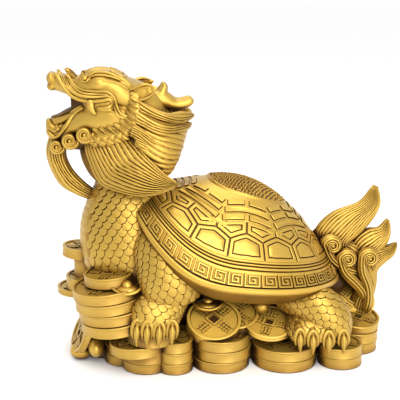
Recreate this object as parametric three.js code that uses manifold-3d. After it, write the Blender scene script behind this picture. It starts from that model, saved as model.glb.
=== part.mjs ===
import * as THREE from 'three';
import { mergeVertices } from 'three/addons/utils/BufferGeometryUtils.js';
import Module from 'manifold-3d';

// Dragon turtle figure: one brass casting that stands on its own heap of coins.
// Millimetres, +Z up. The head looks along -X. The origin is the middle of the flat underside.

// Overall size: the free forms are drawn for a figure of drawnLength and follow figureLength.
const figureLength = 267;
const drawnLength = 267;

// Shell
const shellLength = 158;
const shellWidth = 139;
const shellRimHeight = 68.5;
const domeRise = 66;
const bellyDrop = 22;
const lipThickness = 3.4;
const plateRelief = 1.4;
const plateGap = 0.028;
const outerPlates = 16;
const barRelief = 1.8;
const trigramSides = 8;

// Coins
const coinThickness = 8;
const coinRim = 2;
const coinRecess = 0.9;
const coinSides = 12;
const coinGroove = 0.7;

// Claws and hair
const clawLength = 17;
const clawWidth = 3.3;
const hairGroove = 0.13;

const wasm = await Module();
wasm.setup();

const share = figureLength / drawnLength;

function at([x, y, z], hand = 1) {
  return new THREE.Vector3(x * share, y * share * hand, z * share);
}

// A closed geometry becomes a solid once its shared vertices are merged and its faces point out.
function solidOf(geometry) {
  geometry.deleteAttribute('normal');
  geometry.deleteAttribute('uv');
  const merged = mergeVertices(geometry, 1e-5);
  const corners = merged.index.array;
  const places = merged.attributes.position;
  const [a, b, c] = [new THREE.Vector3(), new THREE.Vector3(), new THREE.Vector3()];
  const triVerts = [];
  let volume = 0;
  for (let i = 0; i < corners.length; i += 3) {
    const [p, q, r] = [corners[i], corners[i + 1], corners[i + 2]];
    if (p === q || q === r || r === p) continue;
    a.fromBufferAttribute(places, p);
    b.fromBufferAttribute(places, q);
    c.fromBufferAttribute(places, r);
    volume += a.dot(b.cross(c));
    triVerts.push(p, q, r);
  }
  if (volume < 0) triVerts.reverse();
  return new wasm.Manifold(new wasm.Mesh({
    numProp: 3,
    vertProperties: new Float32Array(places.array),
    triVerts: new Uint32Array(triVerts),
  }));
}

// A closed skin of rings: place(turn, along, reach) gives a point of a ring, and reach 0 its middle.
function wrap(sides, rings, place) {
  const geometry = new THREE.SphereGeometry(1, sides, rings + 1);
  const points = geometry.attributes.position;
  for (let i = 0; i < points.count; i += 1) {
    const row = Math.floor(i / (sides + 1));
    const turn = ((i % (sides + 1)) % sides) / sides;
    const reach = row === 0 || row === rings + 1 ? 0 : 1;
    const along = THREE.MathUtils.clamp((row - 1) / (rings - 1), 0, 1);
    const spot = place(turn, along, reach);
    points.setXYZ(i, spot.x, spot.y, spot.z);
  }
  return solidOf(geometry);
}

function curveThrough(points) {
  return new THREE.CatmullRomCurve3(points, false, 'catmullrom');
}

// A limb follows a path of middles, with a half width along side and a half depth across it.
function limb({ path, wide, deep, side = [0, 1, 0], sides = 12, rings = 8, groove = 0 }, hand = 1) {
  const spine = curveThrough(path.map((p) => at(p, hand)));
  const girth = curveThrough(wide.map((w, i) => at([w, deep[i], 0])));
  const across = new THREE.Vector3(side[0], side[1] * hand, side[2]);
  return wrap(sides, rings, (turn, along, reach) => {
    const ahead = spine.getTangent(along);
    const beside = across.clone().addScaledVector(ahead, -across.dot(ahead)).normalize();
    const over = new THREE.Vector3().crossVectors(ahead, beside);
    const half = girth.getPoint(along);
    const angle = 2 * Math.PI * turn;
    const ripple = 1 + groove * (Math.round(turn * sides) % 2 === 0 ? 1 : -1);
    return spine.getPoint(along)
      .addScaledVector(beside, half.x * Math.cos(angle) * ripple * reach)
      .addScaledVector(over, half.y * Math.sin(angle) * ripple * reach);
  });
}

// A lock of hair lies between two borders and is thick in its middle, with grooves along it.
function lock({ upper, lower, thick, sides = 12, rings = 6 }, hand = 1) {
  const top = curveThrough(upper.map((p) => at(p, hand)));
  const bottom = curveThrough(lower.map((p) => at(p, hand)));
  const bulk = curveThrough(thick.map((t) => at([t, 0, 0])));
  return wrap(sides, rings, (turn, along, reach) => {
    const [a, b] = [top.getPoint(along), bottom.getPoint(along)];
    const middle = a.clone().add(b).multiplyScalar(0.5);
    const half = b.clone().sub(a).multiplyScalar(0.5);
    const ahead = top.getTangent(along).add(bottom.getTangent(along));
    const over = new THREE.Vector3().crossVectors(ahead, half).normalize();
    const angle = 2 * Math.PI * turn;
    const ripple = 1 + hairGroove * (Math.round(turn * sides) % 2 === 0 ? 1 : -1);
    return middle
      .addScaledVector(half, Math.cos(angle) * reach)
      .addScaledVector(over, bulk.getPoint(along).x * Math.sin(angle) * ripple * reach);
  });
}

function ball(centre, radii, hand = 1, sides = 6, rings = 3) {
  const geometry = new THREE.SphereGeometry(1, sides, rings + 1);
  geometry.scale(radii[0] * share, radii[1] * share, radii[2] * share);
  geometry.translate(...at(centre, hand).toArray());
  return solidOf(geometry);
}

function bothHands(make) {
  return [1, -1].flatMap((hand) => make(hand));
}

// Shell: rings of one rounded outline, which lifts steeply towards the neck.
const shellMiddle = 4;
const headEndReach = shellLength * 0.481;
const tailEndReach = shellLength * 0.519;
const headEndPower = 2.48;
const patternShift = 0.105;
const domePower = 0.95;
const headEndFuller = 0.2;

function rimHeight(u) {
  return shellRimHeight - 9.8 * u + 43 * Math.max(0, -u) ** 3;
}

function outlinePower(u) {
  return u < 0 ? headEndPower : 2;
}

// The pattern's middle sits behind the shell's middle, so inner rings are shifted towards the tail.
function shellPoint(p, q, lift = 0) {
  const power = outlinePower(p);
  const radius = Math.hypot(p, q);
  const stretch = radius > 0 ? radius / (Math.abs(p) ** power + Math.abs(q) ** power) ** (1 / power) : 1;
  const u = p * stretch + patternShift * (1 - Math.min(1, radius * radius));
  const v = q * stretch;
  const reach = (Math.abs(u) ** outlinePower(u) + Math.abs(v) ** outlinePower(u)) ** (1 / outlinePower(u));
  const fuller = headEndFuller * THREE.MathUtils.smoothstep(-u, 0, 0.8);
  const rise = domeRise * Math.max(0, 1 - reach * reach) ** (domePower - fuller);
  const x = shellMiddle + u * (u < 0 ? headEndReach : tailEndReach);
  return at([x, v * shellWidth / 2, rimHeight(u) + rise + lift]);
}

// From the top down: the disc, the raised eight-sided ring, the plates, the lip and the belly.
const discRadius = 0.37;
const ringRadius = 0.6;
const shellSides = 24;
const shellRings = [
  { radius: discRadius },
  { radius: discRadius, lift: barRelief },
  { radius: ringRadius, lift: barRelief, eightSided: true },
  { radius: ringRadius + 0.01, eightSided: true },
  { radius: 0.72 },
  { radius: 0.87 },
  { radius: 1 },
  { radius: 1, under: true },
  { radius: 0.7, under: true },
];

function eightSidedReach(turn) {
  const side = 1 / trigramSides;
  const offset = ((turn + side / 2) % side) - side / 2;
  return 1 / Math.cos(2 * Math.PI * offset);
}

function shellBody() {
  const last = shellRings.length - 1;
  return wrap(shellSides, shellRings.length, (turn, along, reach) => {
    const ring = shellRings[Math.round(along * last)];
    const radius = ring.radius * reach * (ring.eightSided ? eightSidedReach(turn) : 1);
    const angle = 2 * Math.PI * turn;
    const [p, q] = [radius * Math.cos(angle), radius * Math.sin(angle)];
    const spot = shellPoint(p, q, ring.lift ?? 0);
    if (ring.under) {
      spot.z = at([0, 0, rimHeight(p)]).z - (lipThickness + bellyDrop * (1 - radius * radius)) * share;
    }
    return spot;
  });
}

// A raised plate lies on the shell over an outline in the pattern's own plane.
function plate(outline, relief) {
  const middle = outline.reduce((sum, [p, q]) => [sum[0] + p, sum[1] + q], [0, 0])
    .map((total) => total / outline.length);
  const root = 3;
  return wrap(outline.length, 2, (turn, along, reach) => {
    const [p, q] = reach === 0 ? middle : outline[Math.round(turn * outline.length)];
    return shellPoint(p, q, along < 0.5 ? relief : -root);
  });
}

function polar(radius, degrees) {
  const angle = THREE.MathUtils.degToRad(degrees);
  return [radius * Math.cos(angle), radius * Math.sin(angle)];
}

const rowFoot = 0.84;
const rowShoulder = 0.745;
const rowPeak = 0.7;
const innerFoot = 0.62;
const underMane = 30;

function shellPlates() {
  const step = 360 / outerPlates;
  const half = step / 2 - THREE.MathUtils.radToDeg(plateGap) / rowFoot;
  const plates = [];
  for (let i = 0; i < outerPlates; i += 1) {
    const a = i * step;
    const b = (i + 0.5) * step;
    if (Math.abs(a - 180) > underMane) plates.push(plate([
      polar(rowFoot, a - half), polar(rowFoot, a + half), polar(rowShoulder, a + half),
      polar(rowPeak, a), polar(rowShoulder, a - half),
    ], plateRelief));
    if (Math.abs(b - 180) > underMane) plates.push(plate([
      polar(innerFoot, b - half), polar(innerFoot, b + half), polar(rowPeak - plateGap, b + half),
      polar(rowShoulder, b), polar(rowPeak - plateGap, b - half),
    ].reverse(), plateRelief));
  }
  return plates;
}

// Neck and chest: one column, deepest at the chest.
function neck() {
  return limb({
    path: [[-73.5, 0, 187], [-74.5, 0, 163], [-72.5, 0, 143.5], [-72, 0, 129], [-72, 0, 111.5],
      [-72, 0, 95], [-70, 0, 80.5], [-66, 0, 66], [-60, 0, 51.5], [-54, 0, 35.5]],
    wide: [19, 21, 23, 26, 31, 34, 35, 34, 30, 24],
    deep: [18, 19, 20, 22, 30, 35, 38, 37, 34, 28],
    sides: 10,
    rings: 7,
  });
}

function head() {
  return [
    limb({
      path: [[-103, 0, 198], [-95, 0, 197], [-85.5, 0, 197], [-73.5, 0, 194], [-63.5, 0, 191.5],
        [-54, 0, 189], [-46, 0, 186.5]],
      wide: [15, 19, 22, 24, 24, 20, 12],
      deep: [12, 16, 18.5, 17.5, 16.5, 14, 9],
      sides: 10,
      rings: 5,
    }),
    limb({
      path: [[-129.5, 0, 207], [-124.5, 0, 207], [-118, 0, 203.5], [-111, 0, 203], [-103, 0, 203], [-95, 0, 204.5]],
      wide: [7, 11, 12, 14, 16, 18],
      deep: [4, 6, 3.8, 5, 6.8, 8.5],
      sides: 8,
      rings: 6,
    }),
    limb({
      path: [[-131, 0, 175], [-125, 0, 174], [-117, 0, 176.5], [-107, 0, 182.5], [-95.5, 0, 185.5], [-81.5, 0, 186.5]],
      wide: [7, 10, 13, 17, 21, 24],
      deep: [5, 7.5, 7, 7.5, 9, 9.5],
      sides: 8,
      rings: 6,
    }),
    ...bothHands((hand) => [
      ball([-124.5, -8, 207], [4.5, 5.5, 7], hand),
      limb({ path: [[-110.5, -5, 204.5], [-115.5, -6.5, 208], [-112.5, -7.5, 215.5]], wide: [4, 3.5, 1.2],
        deep: [4, 3.5, 1.2], sides: 5, rings: 3 }, hand),
      limb({ path: [[-102.5, -12.5, 206.5], [-96.5, -15, 211], [-85.5, -16, 211], [-75, -17, 206]], wide: [3, 5, 5, 3],
        deep: [3, 3.5, 4, 3], sides: 6, rings: 4 }, hand),
      limb({
        path: [[-122, -11.5, 212], [-117, -13.5, 204], [-107, -16, 202], [-95, -20, 200.5], [-86.5, -22.5, 200],
          [-81.5, -24, 195.5], [-78.5, -24, 189], [-73.5, -24, 183.5]],
        wide: [1.8, 2, 2, 2, 2, 2, 1.8, 1.2],
        deep: [1.8, 2, 2, 2, 2, 2, 1.8, 1.2],
        sides: 4,
        rings: 7,
      }, hand),
      limb({ path: [[-100, -16, 195.5], [-98, -18, 189.5], [-95, -18, 184]], wide: [2.8, 2.4, 0.7],
        deep: [2.8, 2.2, 0.7], sides: 5, rings: 3 }, hand),
    ]),
  ];
}

function earsAndHorns() {
  return bothHands((hand) => [
    limb({ path: [[-78.5, -22, 196], [-68.5, -27.5, 200], [-62, -30.5, 203.5], [-55, -31.5, 206]], wide: [2, 5, 5, 0.8],
      deep: [2, 3, 2.4, 0.8], side: [-0.45, 0, 0.89], sides: 6, rings: 5 }, hand),
    limb({ path: [[-69, -14, 200.5], [-57, -18, 195.5], [-45.5, -19.5, 192.5], [-34.5, -20, 191.5], [-27, -20, 194]],
      wide: [6, 6.5, 6, 5, 1.5], deep: [6, 6.5, 6, 4.5, 1.5], sides: 6, rings: 5 }, hand),
    limb({ path: [[-49.5, -19.5, 193.5], [-47.5, -19.5, 200], [-46.5, -19.5, 206.5]], wide: [4, 3.4, 1.2],
      deep: [5, 3.4, 1.2], sides: 5, rings: 3 }, hand),
  ]);
}

// Mane: a core behind the head, four swept locks and one broad lower lock on each side.
const maneLocks = [
  {
    upper: [[-63, -15, 199], [-49.5, -12.5, 191], [-38, -8.5, 188], [-25, -5.5, 185.5]],
    lower: [[-67, -27.5, 158.5], [-59, -31.5, 143.5], [-49.5, -27.5, 137.5], [-37.5, -14, 144]],
    thick: [12, 15, 13, 3],
  },
  {
    upper: [[-69, -26.5, 162], [-66.5, -31.5, 157], [-62, -35, 151], [-56, -38, 145], [-48, -41, 140],
      [-39.5, -43, 137]],
    lower: [[-103.5, -14, 163.5], [-96.5, -23, 146], [-88.5, -29.5, 132], [-73.5, -39, 124],
      [-56, -44.5, 123.5], [-39.5, -43, 135]],
    thick: [6, 9, 10, 9, 6, 1.5],
    sides: 8,
  },
];

function mane() {
  return [
    limb({
      path: [[-54, 0, 195], [-47, 0, 179.5], [-47, 0, 163], [-55, 0, 146.5], [-66, 0, 137]],
      wide: [16, 24, 28, 30, 24],
      deep: [12, 15, 14, 13, 12],
      sides: 10,
      rings: 5,
    }),
    ...bothHands((hand) => maneLocks.map((hair) => lock(hair, hand))),
  ];
}

function beardAndJaw() {
  return [
    lock({
      upper: [[-127, 0, 171.5], [-132, 0, 157], [-130, 0, 144], [-123, 0, 130.5], [-111.5, 0, 123], [-97.5, 0, 118]],
      lower: [[-115, 0, 169], [-121, 0, 155.5], [-118, 0, 145], [-110.5, 0, 134.5], [-102.5, 0, 127], [-91.5, 0, 121]],
      thick: [9, 9, 8.5, 7.5, 6, 4],
      sides: 10,
      rings: 7,
    }),
    ...bothHands((hand) => [
      ...[[-122.5, -8.5, 163], [-112.5, -11, 170], [-102.5, -15, 172]]
        .map((centre) => ball(centre, [6.5, 6.5, 6.5], hand)),
      limb({
        path: [[-102.5, -17, 170.5], [-90.5, -21, 168.5], [-76.5, -24, 168], [-66, -24.5, 172],
          [-61, -24.5, 181.5], [-63, -23, 191]],
        wide: [5, 5, 6, 6, 6, 4],
        deep: [5, 6, 7, 7, 7, 4],
        sides: 6,
        rings: 5,
        groove: hairGroove,
      }, hand),
    ]),
  ];
}

// Legs: an upper limb, a paw and four claws each.
const claws = 4;
const clawBend = [0, -2.5, 1];

function leg({ limbPath, wide, deep, pawPath, pawWide, pawDeep, toeFrom, toeTo, toeDrop }, hand) {
  const toes = Array.from({ length: claws }, (_, i) => {
    const root = toeFrom.map((value, k) => THREE.MathUtils.lerp(value, toeTo[k], i / (claws - 1)));
    const tip = root.map((value, k) => value + toeDrop[k] * clawLength);
    const bend = root.map((value, k) => (value + tip[k]) / 2 + clawBend[k]);
    return limb({ path: [root, bend, tip], wide: [clawWidth, clawWidth, 0.6],
      deep: [clawWidth, clawWidth, 0.6], side: [1, 0, 0], sides: 4, rings: 2 }, hand);
  });
  return [
    limb({ path: limbPath, wide, deep, sides: 8, rings: 4 }, hand),
    limb({ path: pawPath, wide: pawWide, deep: pawDeep, side: [1, 0, 0], sides: 7, rings: 3 }, hand),
    ...toes,
  ];
}

const frontLeg = {
  limbPath: [[-58, -28, 106], [-55, -36, 92.5], [-50, -41, 79], [-45, -43, 65.5], [-42.5, -40, 52.5]],
  wide: [10, 12, 14, 15, 13],
  deep: [14, 17, 20, 21.5, 19],
  pawPath: [[-45.5, -36, 54.5], [-53, -45.5, 50.5], [-57.5, -52, 41.5], [-57.5, -54, 34.5]],
  pawWide: [17, 18, 17, 14],
  pawDeep: [9, 9, 8, 5],
  toeFrom: [-71, -53, 44],
  toeTo: [-46, -54, 42.5],
  toeDrop: [-0.05, -0.25, -0.92],
};

const hindLeg = {
  limbPath: [[35.5, -32.5, 59.5], [49, -41, 54], [63, -43.5, 47], [72, -43.5, 35.5], [71, -42, 22]],
  wide: [12, 14, 15, 15, 13],
  deep: [12, 15, 17, 16, 15],
  pawPath: [[63, -38, 36], [58.5, -47.5, 32.5], [57.5, -53, 26.5], [57.5, -54, 21.5]],
  pawWide: [17, 19, 18, 14],
  pawDeep: [8, 8, 7, 5],
  toeFrom: [41.5, -53, 30.5],
  toeTo: [75.5, -52, 29.5],
  toeDrop: [0, -0.25, -0.75],
};

// Tail: a stem that splits into three flames, with three curls on each side.
const flames = [
  {
    upper: [[97.5, 0, 50.5], [84, 0, 68], [70, 0, 85], [72.5, 0, 95], [84, 0, 104.6],
      [103, 0, 111.6], [113.5, 0, 124.8]],
    lower: [[107.5, 0, 52.5], [97, 0, 66], [96, 0, 78], [105, 0, 87], [113.5, 0, 97],
      [119.3, 0, 109], [117.5, 0, 123]],
    thick: [9, 10, 9, 8, 7, 5, 1.5],
  },
  {
    upper: [[101.5, 0, 52.5], [96, 0, 68], [100, 0, 82], [110, 0, 90], [119, 0, 91], [125.6, 0, 98]],
    lower: [[111.5, 0, 52.5], [110, 0, 58], [114, 0, 65], [122, 0, 71], [128.3, 0, 83], [127.9, 0, 96]],
    thick: [9, 9, 8, 7, 5, 1.5],
  },
  {
    upper: [[104.5, 0, 38.5], [102, 0, 54], [107, 0, 68], [117, 0, 75], [127, 0, 76], [134, 0, 79]],
    lower: [[116, 0, 38.5], [119, 0, 48], [120, 0, 56.5], [125.5, 0, 62.5], [132, 0, 68], [135.2, 0, 76]],
    thick: [9, 9, 8, 7, 5, 1.5],
  },
];
const tailCurls = [[79.5, 81.6], [91.6, 70.1], [108.8, 70.4]];

function tail() {
  return [
    ...flames.map((flame) => lock({ ...flame, sides: 6, rings: 5 })),
    limb({
      path: [[105, 0, 18.5], [107.5, 0, 35], [108, 0, 50], [98, 0, 65], [88, 0, 78]],
      wide: [10, 9, 11, 11, 9],
      deep: [8, 7.2, 11, 14, 11],
      sides: 8,
      rings: 5,
    }),
    ...tailCurls.map(([x, z]) => ball([x, 0, z], [7.4, 12, 7.4])),
  ];
}

// A disc is turned about +Z from pairs of radius and height.
function turned(profile) {
  const disc = new THREE.LatheGeometry(profile.map(([a, b]) => new THREE.Vector2(a, b)), coinSides);
  return disc.rotateX(Math.PI / 2);
}

// A pile of coins hangs from the middle of its top, may lean, and has grooves between its coins.
function pile({ top, radius, count = 1, thick = coinThickness, lean = [0, 0], rimmed = true }) {
  const reach = radius * share;
  const layer = thick * share;
  const depth = count * layer;
  const profile = [[0, -depth], [reach - coinGroove, -depth]];
  for (let i = 1; i < count; i += 1) {
    profile.push([reach, (i - 0.5) * layer - depth], [reach - coinGroove, i * layer - depth]);
  }
  profile.push([reach, 0]);
  if (rimmed) profile.push([reach - coinRim, -coinRecess]);
  profile.push([0, rimmed ? -coinRecess : 0]);
  const disc = turned(profile);
  disc.rotateX(THREE.MathUtils.degToRad(lean[0]));
  disc.rotateY(THREE.MathUtils.degToRad(lean[1]));
  disc.translate(...at(top).toArray());
  return solidOf(disc);
}

// A stack stands on the ground.
function stack({ foot: [x, y], radius, count = 1, height = count * coinThickness, rimmed = true }) {
  return pile({ top: [x, y, height], radius, count, thick: height / count, rimmed });
}

const leaningPiles = [
  { top: [-88.5, -28.5, 71.5], radius: 18.5, lean: [0, -3] },
  { top: [-90.5, -31, 63.5], radius: 25, count: 4, lean: [2, -5] },
  { top: [-59, -40, 30.5], radius: 18, rimmed: false },
  { top: [-69, -38, 23], radius: 21, lean: [0, -2], rimmed: false },
  { top: [-107.5, 11.5, 80.5], radius: 16, lean: [0, 4] },
  { top: [-104.5, 10.5, 73], radius: 11, thick: 16, rimmed: false },
  { top: [-103, 7.5, 58.5], radius: 18.5, thick: 10, rimmed: false },
  { top: [-110.5, 11.5, 49], radius: 18 },
  { top: [-13, -36, 35.6], radius: 20, lean: [28, 0], thick: 14 },
  { top: [4, -26.5, 37], radius: 18, lean: [24, 0], thick: 14, rimmed: false },
  { top: [28, -37, 32], radius: 18, lean: [18, 0] },
  { top: [99, 5.5, 30], radius: 17, lean: [12, 0] },
  { top: [-112, -17, 21], radius: 14, lean: [12, -66], thick: 7, rimmed: false },
];

const nearStacks = [
  { foot: [-42.3, -41.5], radius: 13.4, count: 3 },
  { foot: [-7.5, -34.5], radius: 21.6, count: 3 },
  { foot: [39.5, -35.5], radius: 24.2, count: 2 },
  { foot: [80, -42.5], radius: 16.6, count: 2 },
  { foot: [100, -17], radius: 16.5, height: 24, count: 3 },
  { foot: [-78, -20], radius: 16, height: 15, rimmed: false },
  { foot: [-62, -34], radius: 18.5, height: 15, rimmed: false },
];

const farStacks = [
  { foot: [-84, 31], radius: 21, height: 40, rimmed: false },
  { foot: [-55, 42], radius: 18, height: 30, rimmed: false },
  { foot: [-18, 39], radius: 20, height: 24, rimmed: false },
  { foot: [24, 40], radius: 20, height: 18, rimmed: false },
  { foot: [66, 40], radius: 19, height: 16, rimmed: false },
  { foot: [99, 22], radius: 17.5, height: 22, rimmed: false },
];

// The middle of the heap is one low round under the body.
const filling = { length: 206, width: 88, height: 22 };

function fillingRound() {
  const round = turned([[0, 0], [1, 0], [1, 1], [0, 1]]);
  round.scale(filling.length / 2 * share, filling.width / 2 * share, filling.height * share);
  return solidOf(round);
}

function heap() {
  return [
    ...leaningPiles.map((one) => pile(one)),
    ...[...nearStacks, ...farStacks].map((one) => stack(one)),
    fillingRound(),
    pile({ top: [-92, 0, 56], radius: 22, thick: 56, rimmed: false }),
    ball([-99.5, -25, 13.5], [6, 12, 8]),
    ball([21.5, -31.5, 38], [5.5, 5.5, 5.5]),
  ];
}

// A boat-shaped ingot with a round bead in its middle.
function ingot(x, y, z) {
  return [
    limb({ path: [[x - 10, y, z + 3], [x - 5, y, z - 1], [x + 5, y, z - 1], [x + 10, y, z + 3]], wide: [2.5, 6, 6, 2.5],
      deep: [1, 3.5, 3.5, 1], side: [0, 1, 0], sides: 6, rings: 4 }),
    ball([x, y, z + 2.5], [3.4, 3.4, 3.4]),
  ];
}

const casting = wasm.Manifold.union([
  shellBody(), ...shellPlates(), neck(), ...head(), ...earsAndHorns(), ...mane(),
  ...beardAndJaw(),
  ...bothHands((hand) => leg(frontLeg, hand)),
  ...bothHands((hand) => leg(hindLeg, hand)),
  ...tail(),
  ...heap(),
  ...ingot(-19, -33, 41.5),
  ...ingot(-76, -43, 63),
]);

function meshOf(solid, name, material) {
  const { vertProperties, triVerts } = solid.getMesh();
  const geometry = new THREE.BufferGeometry();
  geometry.setAttribute('position', new THREE.BufferAttribute(vertProperties, 3));
  geometry.setIndex(new THREE.BufferAttribute(triVerts, 1));
  geometry.computeVertexNormals();
  const mesh = new THREE.Mesh(geometry, material);
  mesh.name = name;
  return mesh;
}

const agedBrass = new THREE.MeshStandardMaterial({ color: 0xb8892f, roughness: 0.38, metalness: 0.9 });
const figure = new THREE.Group();
figure.add(meshOf(casting, 'dragon_turtle', agedBrass));

export default figure;
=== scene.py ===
import math

import bpy
import numpy as np
from bpy.props import FloatProperty, FloatVectorProperty, IntProperty, PointerProperty
from bpy.types import Operator, Panel, PropertyGroup
from mathutils import Euler, Matrix, Vector


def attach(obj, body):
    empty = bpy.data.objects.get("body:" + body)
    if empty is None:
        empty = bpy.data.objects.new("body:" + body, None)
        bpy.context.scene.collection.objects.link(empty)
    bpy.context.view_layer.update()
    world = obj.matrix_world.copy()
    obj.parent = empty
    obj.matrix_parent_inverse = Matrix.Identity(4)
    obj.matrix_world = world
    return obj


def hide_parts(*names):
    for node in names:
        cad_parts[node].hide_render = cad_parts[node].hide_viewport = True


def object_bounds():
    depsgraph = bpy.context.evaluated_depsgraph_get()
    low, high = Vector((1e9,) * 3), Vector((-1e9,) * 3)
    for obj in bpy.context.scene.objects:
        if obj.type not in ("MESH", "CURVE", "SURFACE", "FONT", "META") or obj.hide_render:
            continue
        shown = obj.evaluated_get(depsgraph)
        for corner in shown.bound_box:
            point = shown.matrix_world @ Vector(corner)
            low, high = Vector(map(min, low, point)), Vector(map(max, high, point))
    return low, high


bl_info = {
    "name": "Dragon turtle figure",
    "version": (1, 0, 0),
    "blender": (4, 5, 0),
    "location": "View3D > Sidebar > Turtle",
    "description": "Dresses the cast dragon turtle with its carving and its aged brass finish",
    "category": "Object",
}

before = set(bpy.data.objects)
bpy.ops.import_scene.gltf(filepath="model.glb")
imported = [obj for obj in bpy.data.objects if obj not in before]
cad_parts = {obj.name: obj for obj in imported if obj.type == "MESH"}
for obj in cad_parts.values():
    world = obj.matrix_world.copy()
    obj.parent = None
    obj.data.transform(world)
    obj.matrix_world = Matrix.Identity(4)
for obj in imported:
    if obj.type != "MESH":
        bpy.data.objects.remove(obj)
CAD_LOW, CAD_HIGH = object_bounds()

# All forms are drawn in millimetres for a figure of this length, and follow the frame's length.
DRAWN_LENGTH = 266.8
SHARE = (CAD_HIGH.x - CAD_LOW.x) * 1000 / DRAWN_LENGTH
METRES = 0.001
NODE = "dragon_turtle"


# Sizes and colours

class CarvingSizes(PropertyGroup):
    scale_height: FloatProperty(
        name="Scale height", description="How far a scale's free end stands out, in millimetres",
        default=1.0, min=0.2, max=3)
    scale_width: FloatProperty(
        name="Scale width", description="Width of a scale on the neck, in millimetres",
        default=6.9, min=3, max=12)
    strand_height: FloatProperty(
        name="Strand height", description="Height of a strand of hair, in millimetres",
        default=1.1, min=0.2, max=3)
    groove_depth: FloatProperty(
        name="Groove depth", description="Depth of the grooves on the shell, in millimetres",
        default=0.9, min=0.2, max=2)
    bar_height: FloatProperty(
        name="Bar height", description="Height of the bars round the shell's disc, in millimetres",
        default=1.0, min=0.4, max=3)
    fret_units: IntProperty(
        name="Fret units", description="Number of square spirals round the shell's rim",
        default=40, min=12, max=60)
    coin_rim: FloatProperty(
        name="Coin rim", description="Width of a coin's raised rim, in millimetres",
        default=1.9, min=0.5, max=4)


class FinishColours(PropertyGroup):
    bright: FloatVectorProperty(
        name="Bright brass", description="Colour of rubbed, raised brass",
        subtype="COLOR", size=3, default=(0.56, 0.35, 0.055), min=0, max=1)
    # Wear together with painted shade: the ramp gives this colour to half-occluded places.
    worn_and_shaded: FloatVectorProperty(
        name="Worn brass", description="Colour of brass in shallow places",
        subtype="COLOR", size=3, default=(0.35, 0.18, 0.016), min=0, max=1)
    # Patina together with painted shade: the ramp gives this colour to the deepest recesses and the most
    # occluded places.
    dark: FloatVectorProperty(
        name="Dark brass", description="Colour of the deep recesses",
        subtype="COLOR", size=3, default=(0.06, 0.024, 0.002), min=0, max=1)
    gloss: FloatProperty(
        name="Roughness", description="Roughness of rubbed brass",
        subtype="FACTOR", default=0.38, min=0.05, max=1)


class StageSizes(PropertyGroup):
    floor: FloatVectorProperty(
        name="Floor", description="Colour of the floor and the backdrop",
        subtype="COLOR", size=3, default=(0.98, 0.98, 0.98), min=0, max=1)
    key: FloatProperty(
        name="Key light", description="Power of the main softbox, in watts",
        subtype="POWER", default=11, min=0)
    sky: FloatProperty(
        name="Room light", description="Strength of the even light of the room",
        default=1.0, min=0)


# Forms: closed skins of rings, in millimetres

def smooth(low, high, value):
    """0 below low and 1 above high, with a soft change between them."""
    t = np.clip((value - low) / (high - low), 0, 1)
    return t * t * (3 - 2 * t)


def curve(points, shares):
    """Places on a smooth curve through points, at shares from 0 to 1 of its way."""
    given = np.asarray(points, float)
    if given.ndim == 1:
        given = given[:, None]
    padded = np.vstack([2 * given[0] - given[1], given, 2 * given[-1] - given[-2]])
    place = np.clip(np.asarray(shares, float), 0, 1) * (len(given) - 1)
    k = np.minimum(place.astype(int), len(given) - 2)
    w = (place - k)[..., None]
    a, b, c, d = (padded[k + i] for i in range(4))
    square, cube = 2 * a - 5 * b + 4 * c - d, 3 * b - a - 3 * c + d
    return 0.5 * (2 * b + (c - a) * w + square * w ** 2 + cube * w ** 3)


def unit(vectors):
    return vectors / (np.linalg.norm(vectors, axis=-1, keepdims=True) + 1e-9)


def circle(count):
    """Angles of count even steps round a full turn."""
    return np.arange(count) / count * 2 * math.pi


def end_crowded(start, count):
    """Shares of a way that stand closer together towards both ends."""
    return 0.5 - 0.5 * np.cos(np.linspace(start, 1 - start, count) * math.pi)


def on_hand(points, hand):
    """Points for the near side, or mirrored to the far side where hand is -1. A pair is (x, z), with y 0."""
    points = np.asarray(points, float)
    if points.shape[-1] == 2:
        points = np.insert(points, 1, 0, axis=-1)
    return points * (1, hand, 1)


class Form:
    """A closed skin: points has one row for each ring, and each ring closes on itself."""

    def __init__(self, points):
        self.points = points
        across = np.roll(points, -1, 1) - np.roll(points, 1, 1)
        ahead = np.gradient(points, axis=0)
        normals = unit(np.cross(across, ahead))
        outwards = ((points - points.mean(1, keepdims=True)) * normals).sum()
        self.normals = normals if outwards > 0 else -normals
        self.girth = np.linalg.norm(across, axis=2).sum(1) / 2
        middles = points.mean(1)
        steps = np.linalg.norm(np.diff(middles, axis=0), axis=1)
        self.way = np.concatenate([[0], np.cumsum(steps)])
        self.turn = np.arange(points.shape[1]) / points.shape[1]

    def at(self, turn, way):
        """Points and normals at turns round the form and millimetres along it."""
        rows, cols = self.points.shape[:2]
        r = np.interp(way, self.way, np.arange(rows))
        c = (turn % 1) * cols
        r0 = np.minimum(r.astype(int), rows - 2)
        c0 = c.astype(int) % cols
        fr, fc = (r - r0)[..., None], (c - np.floor(c))[..., None]
        c1 = (c0 + 1) % cols
        found = []
        for field in (self.points, self.normals):
            low = field[r0, c0] * (1 - fc) + field[r0, c1] * fc
            high = field[r0 + 1, c0] * (1 - fc) + field[r0 + 1, c1] * fc
            found.append(low * (1 - fr) + high * fr)
        return found[0], unit(found[1])


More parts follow.
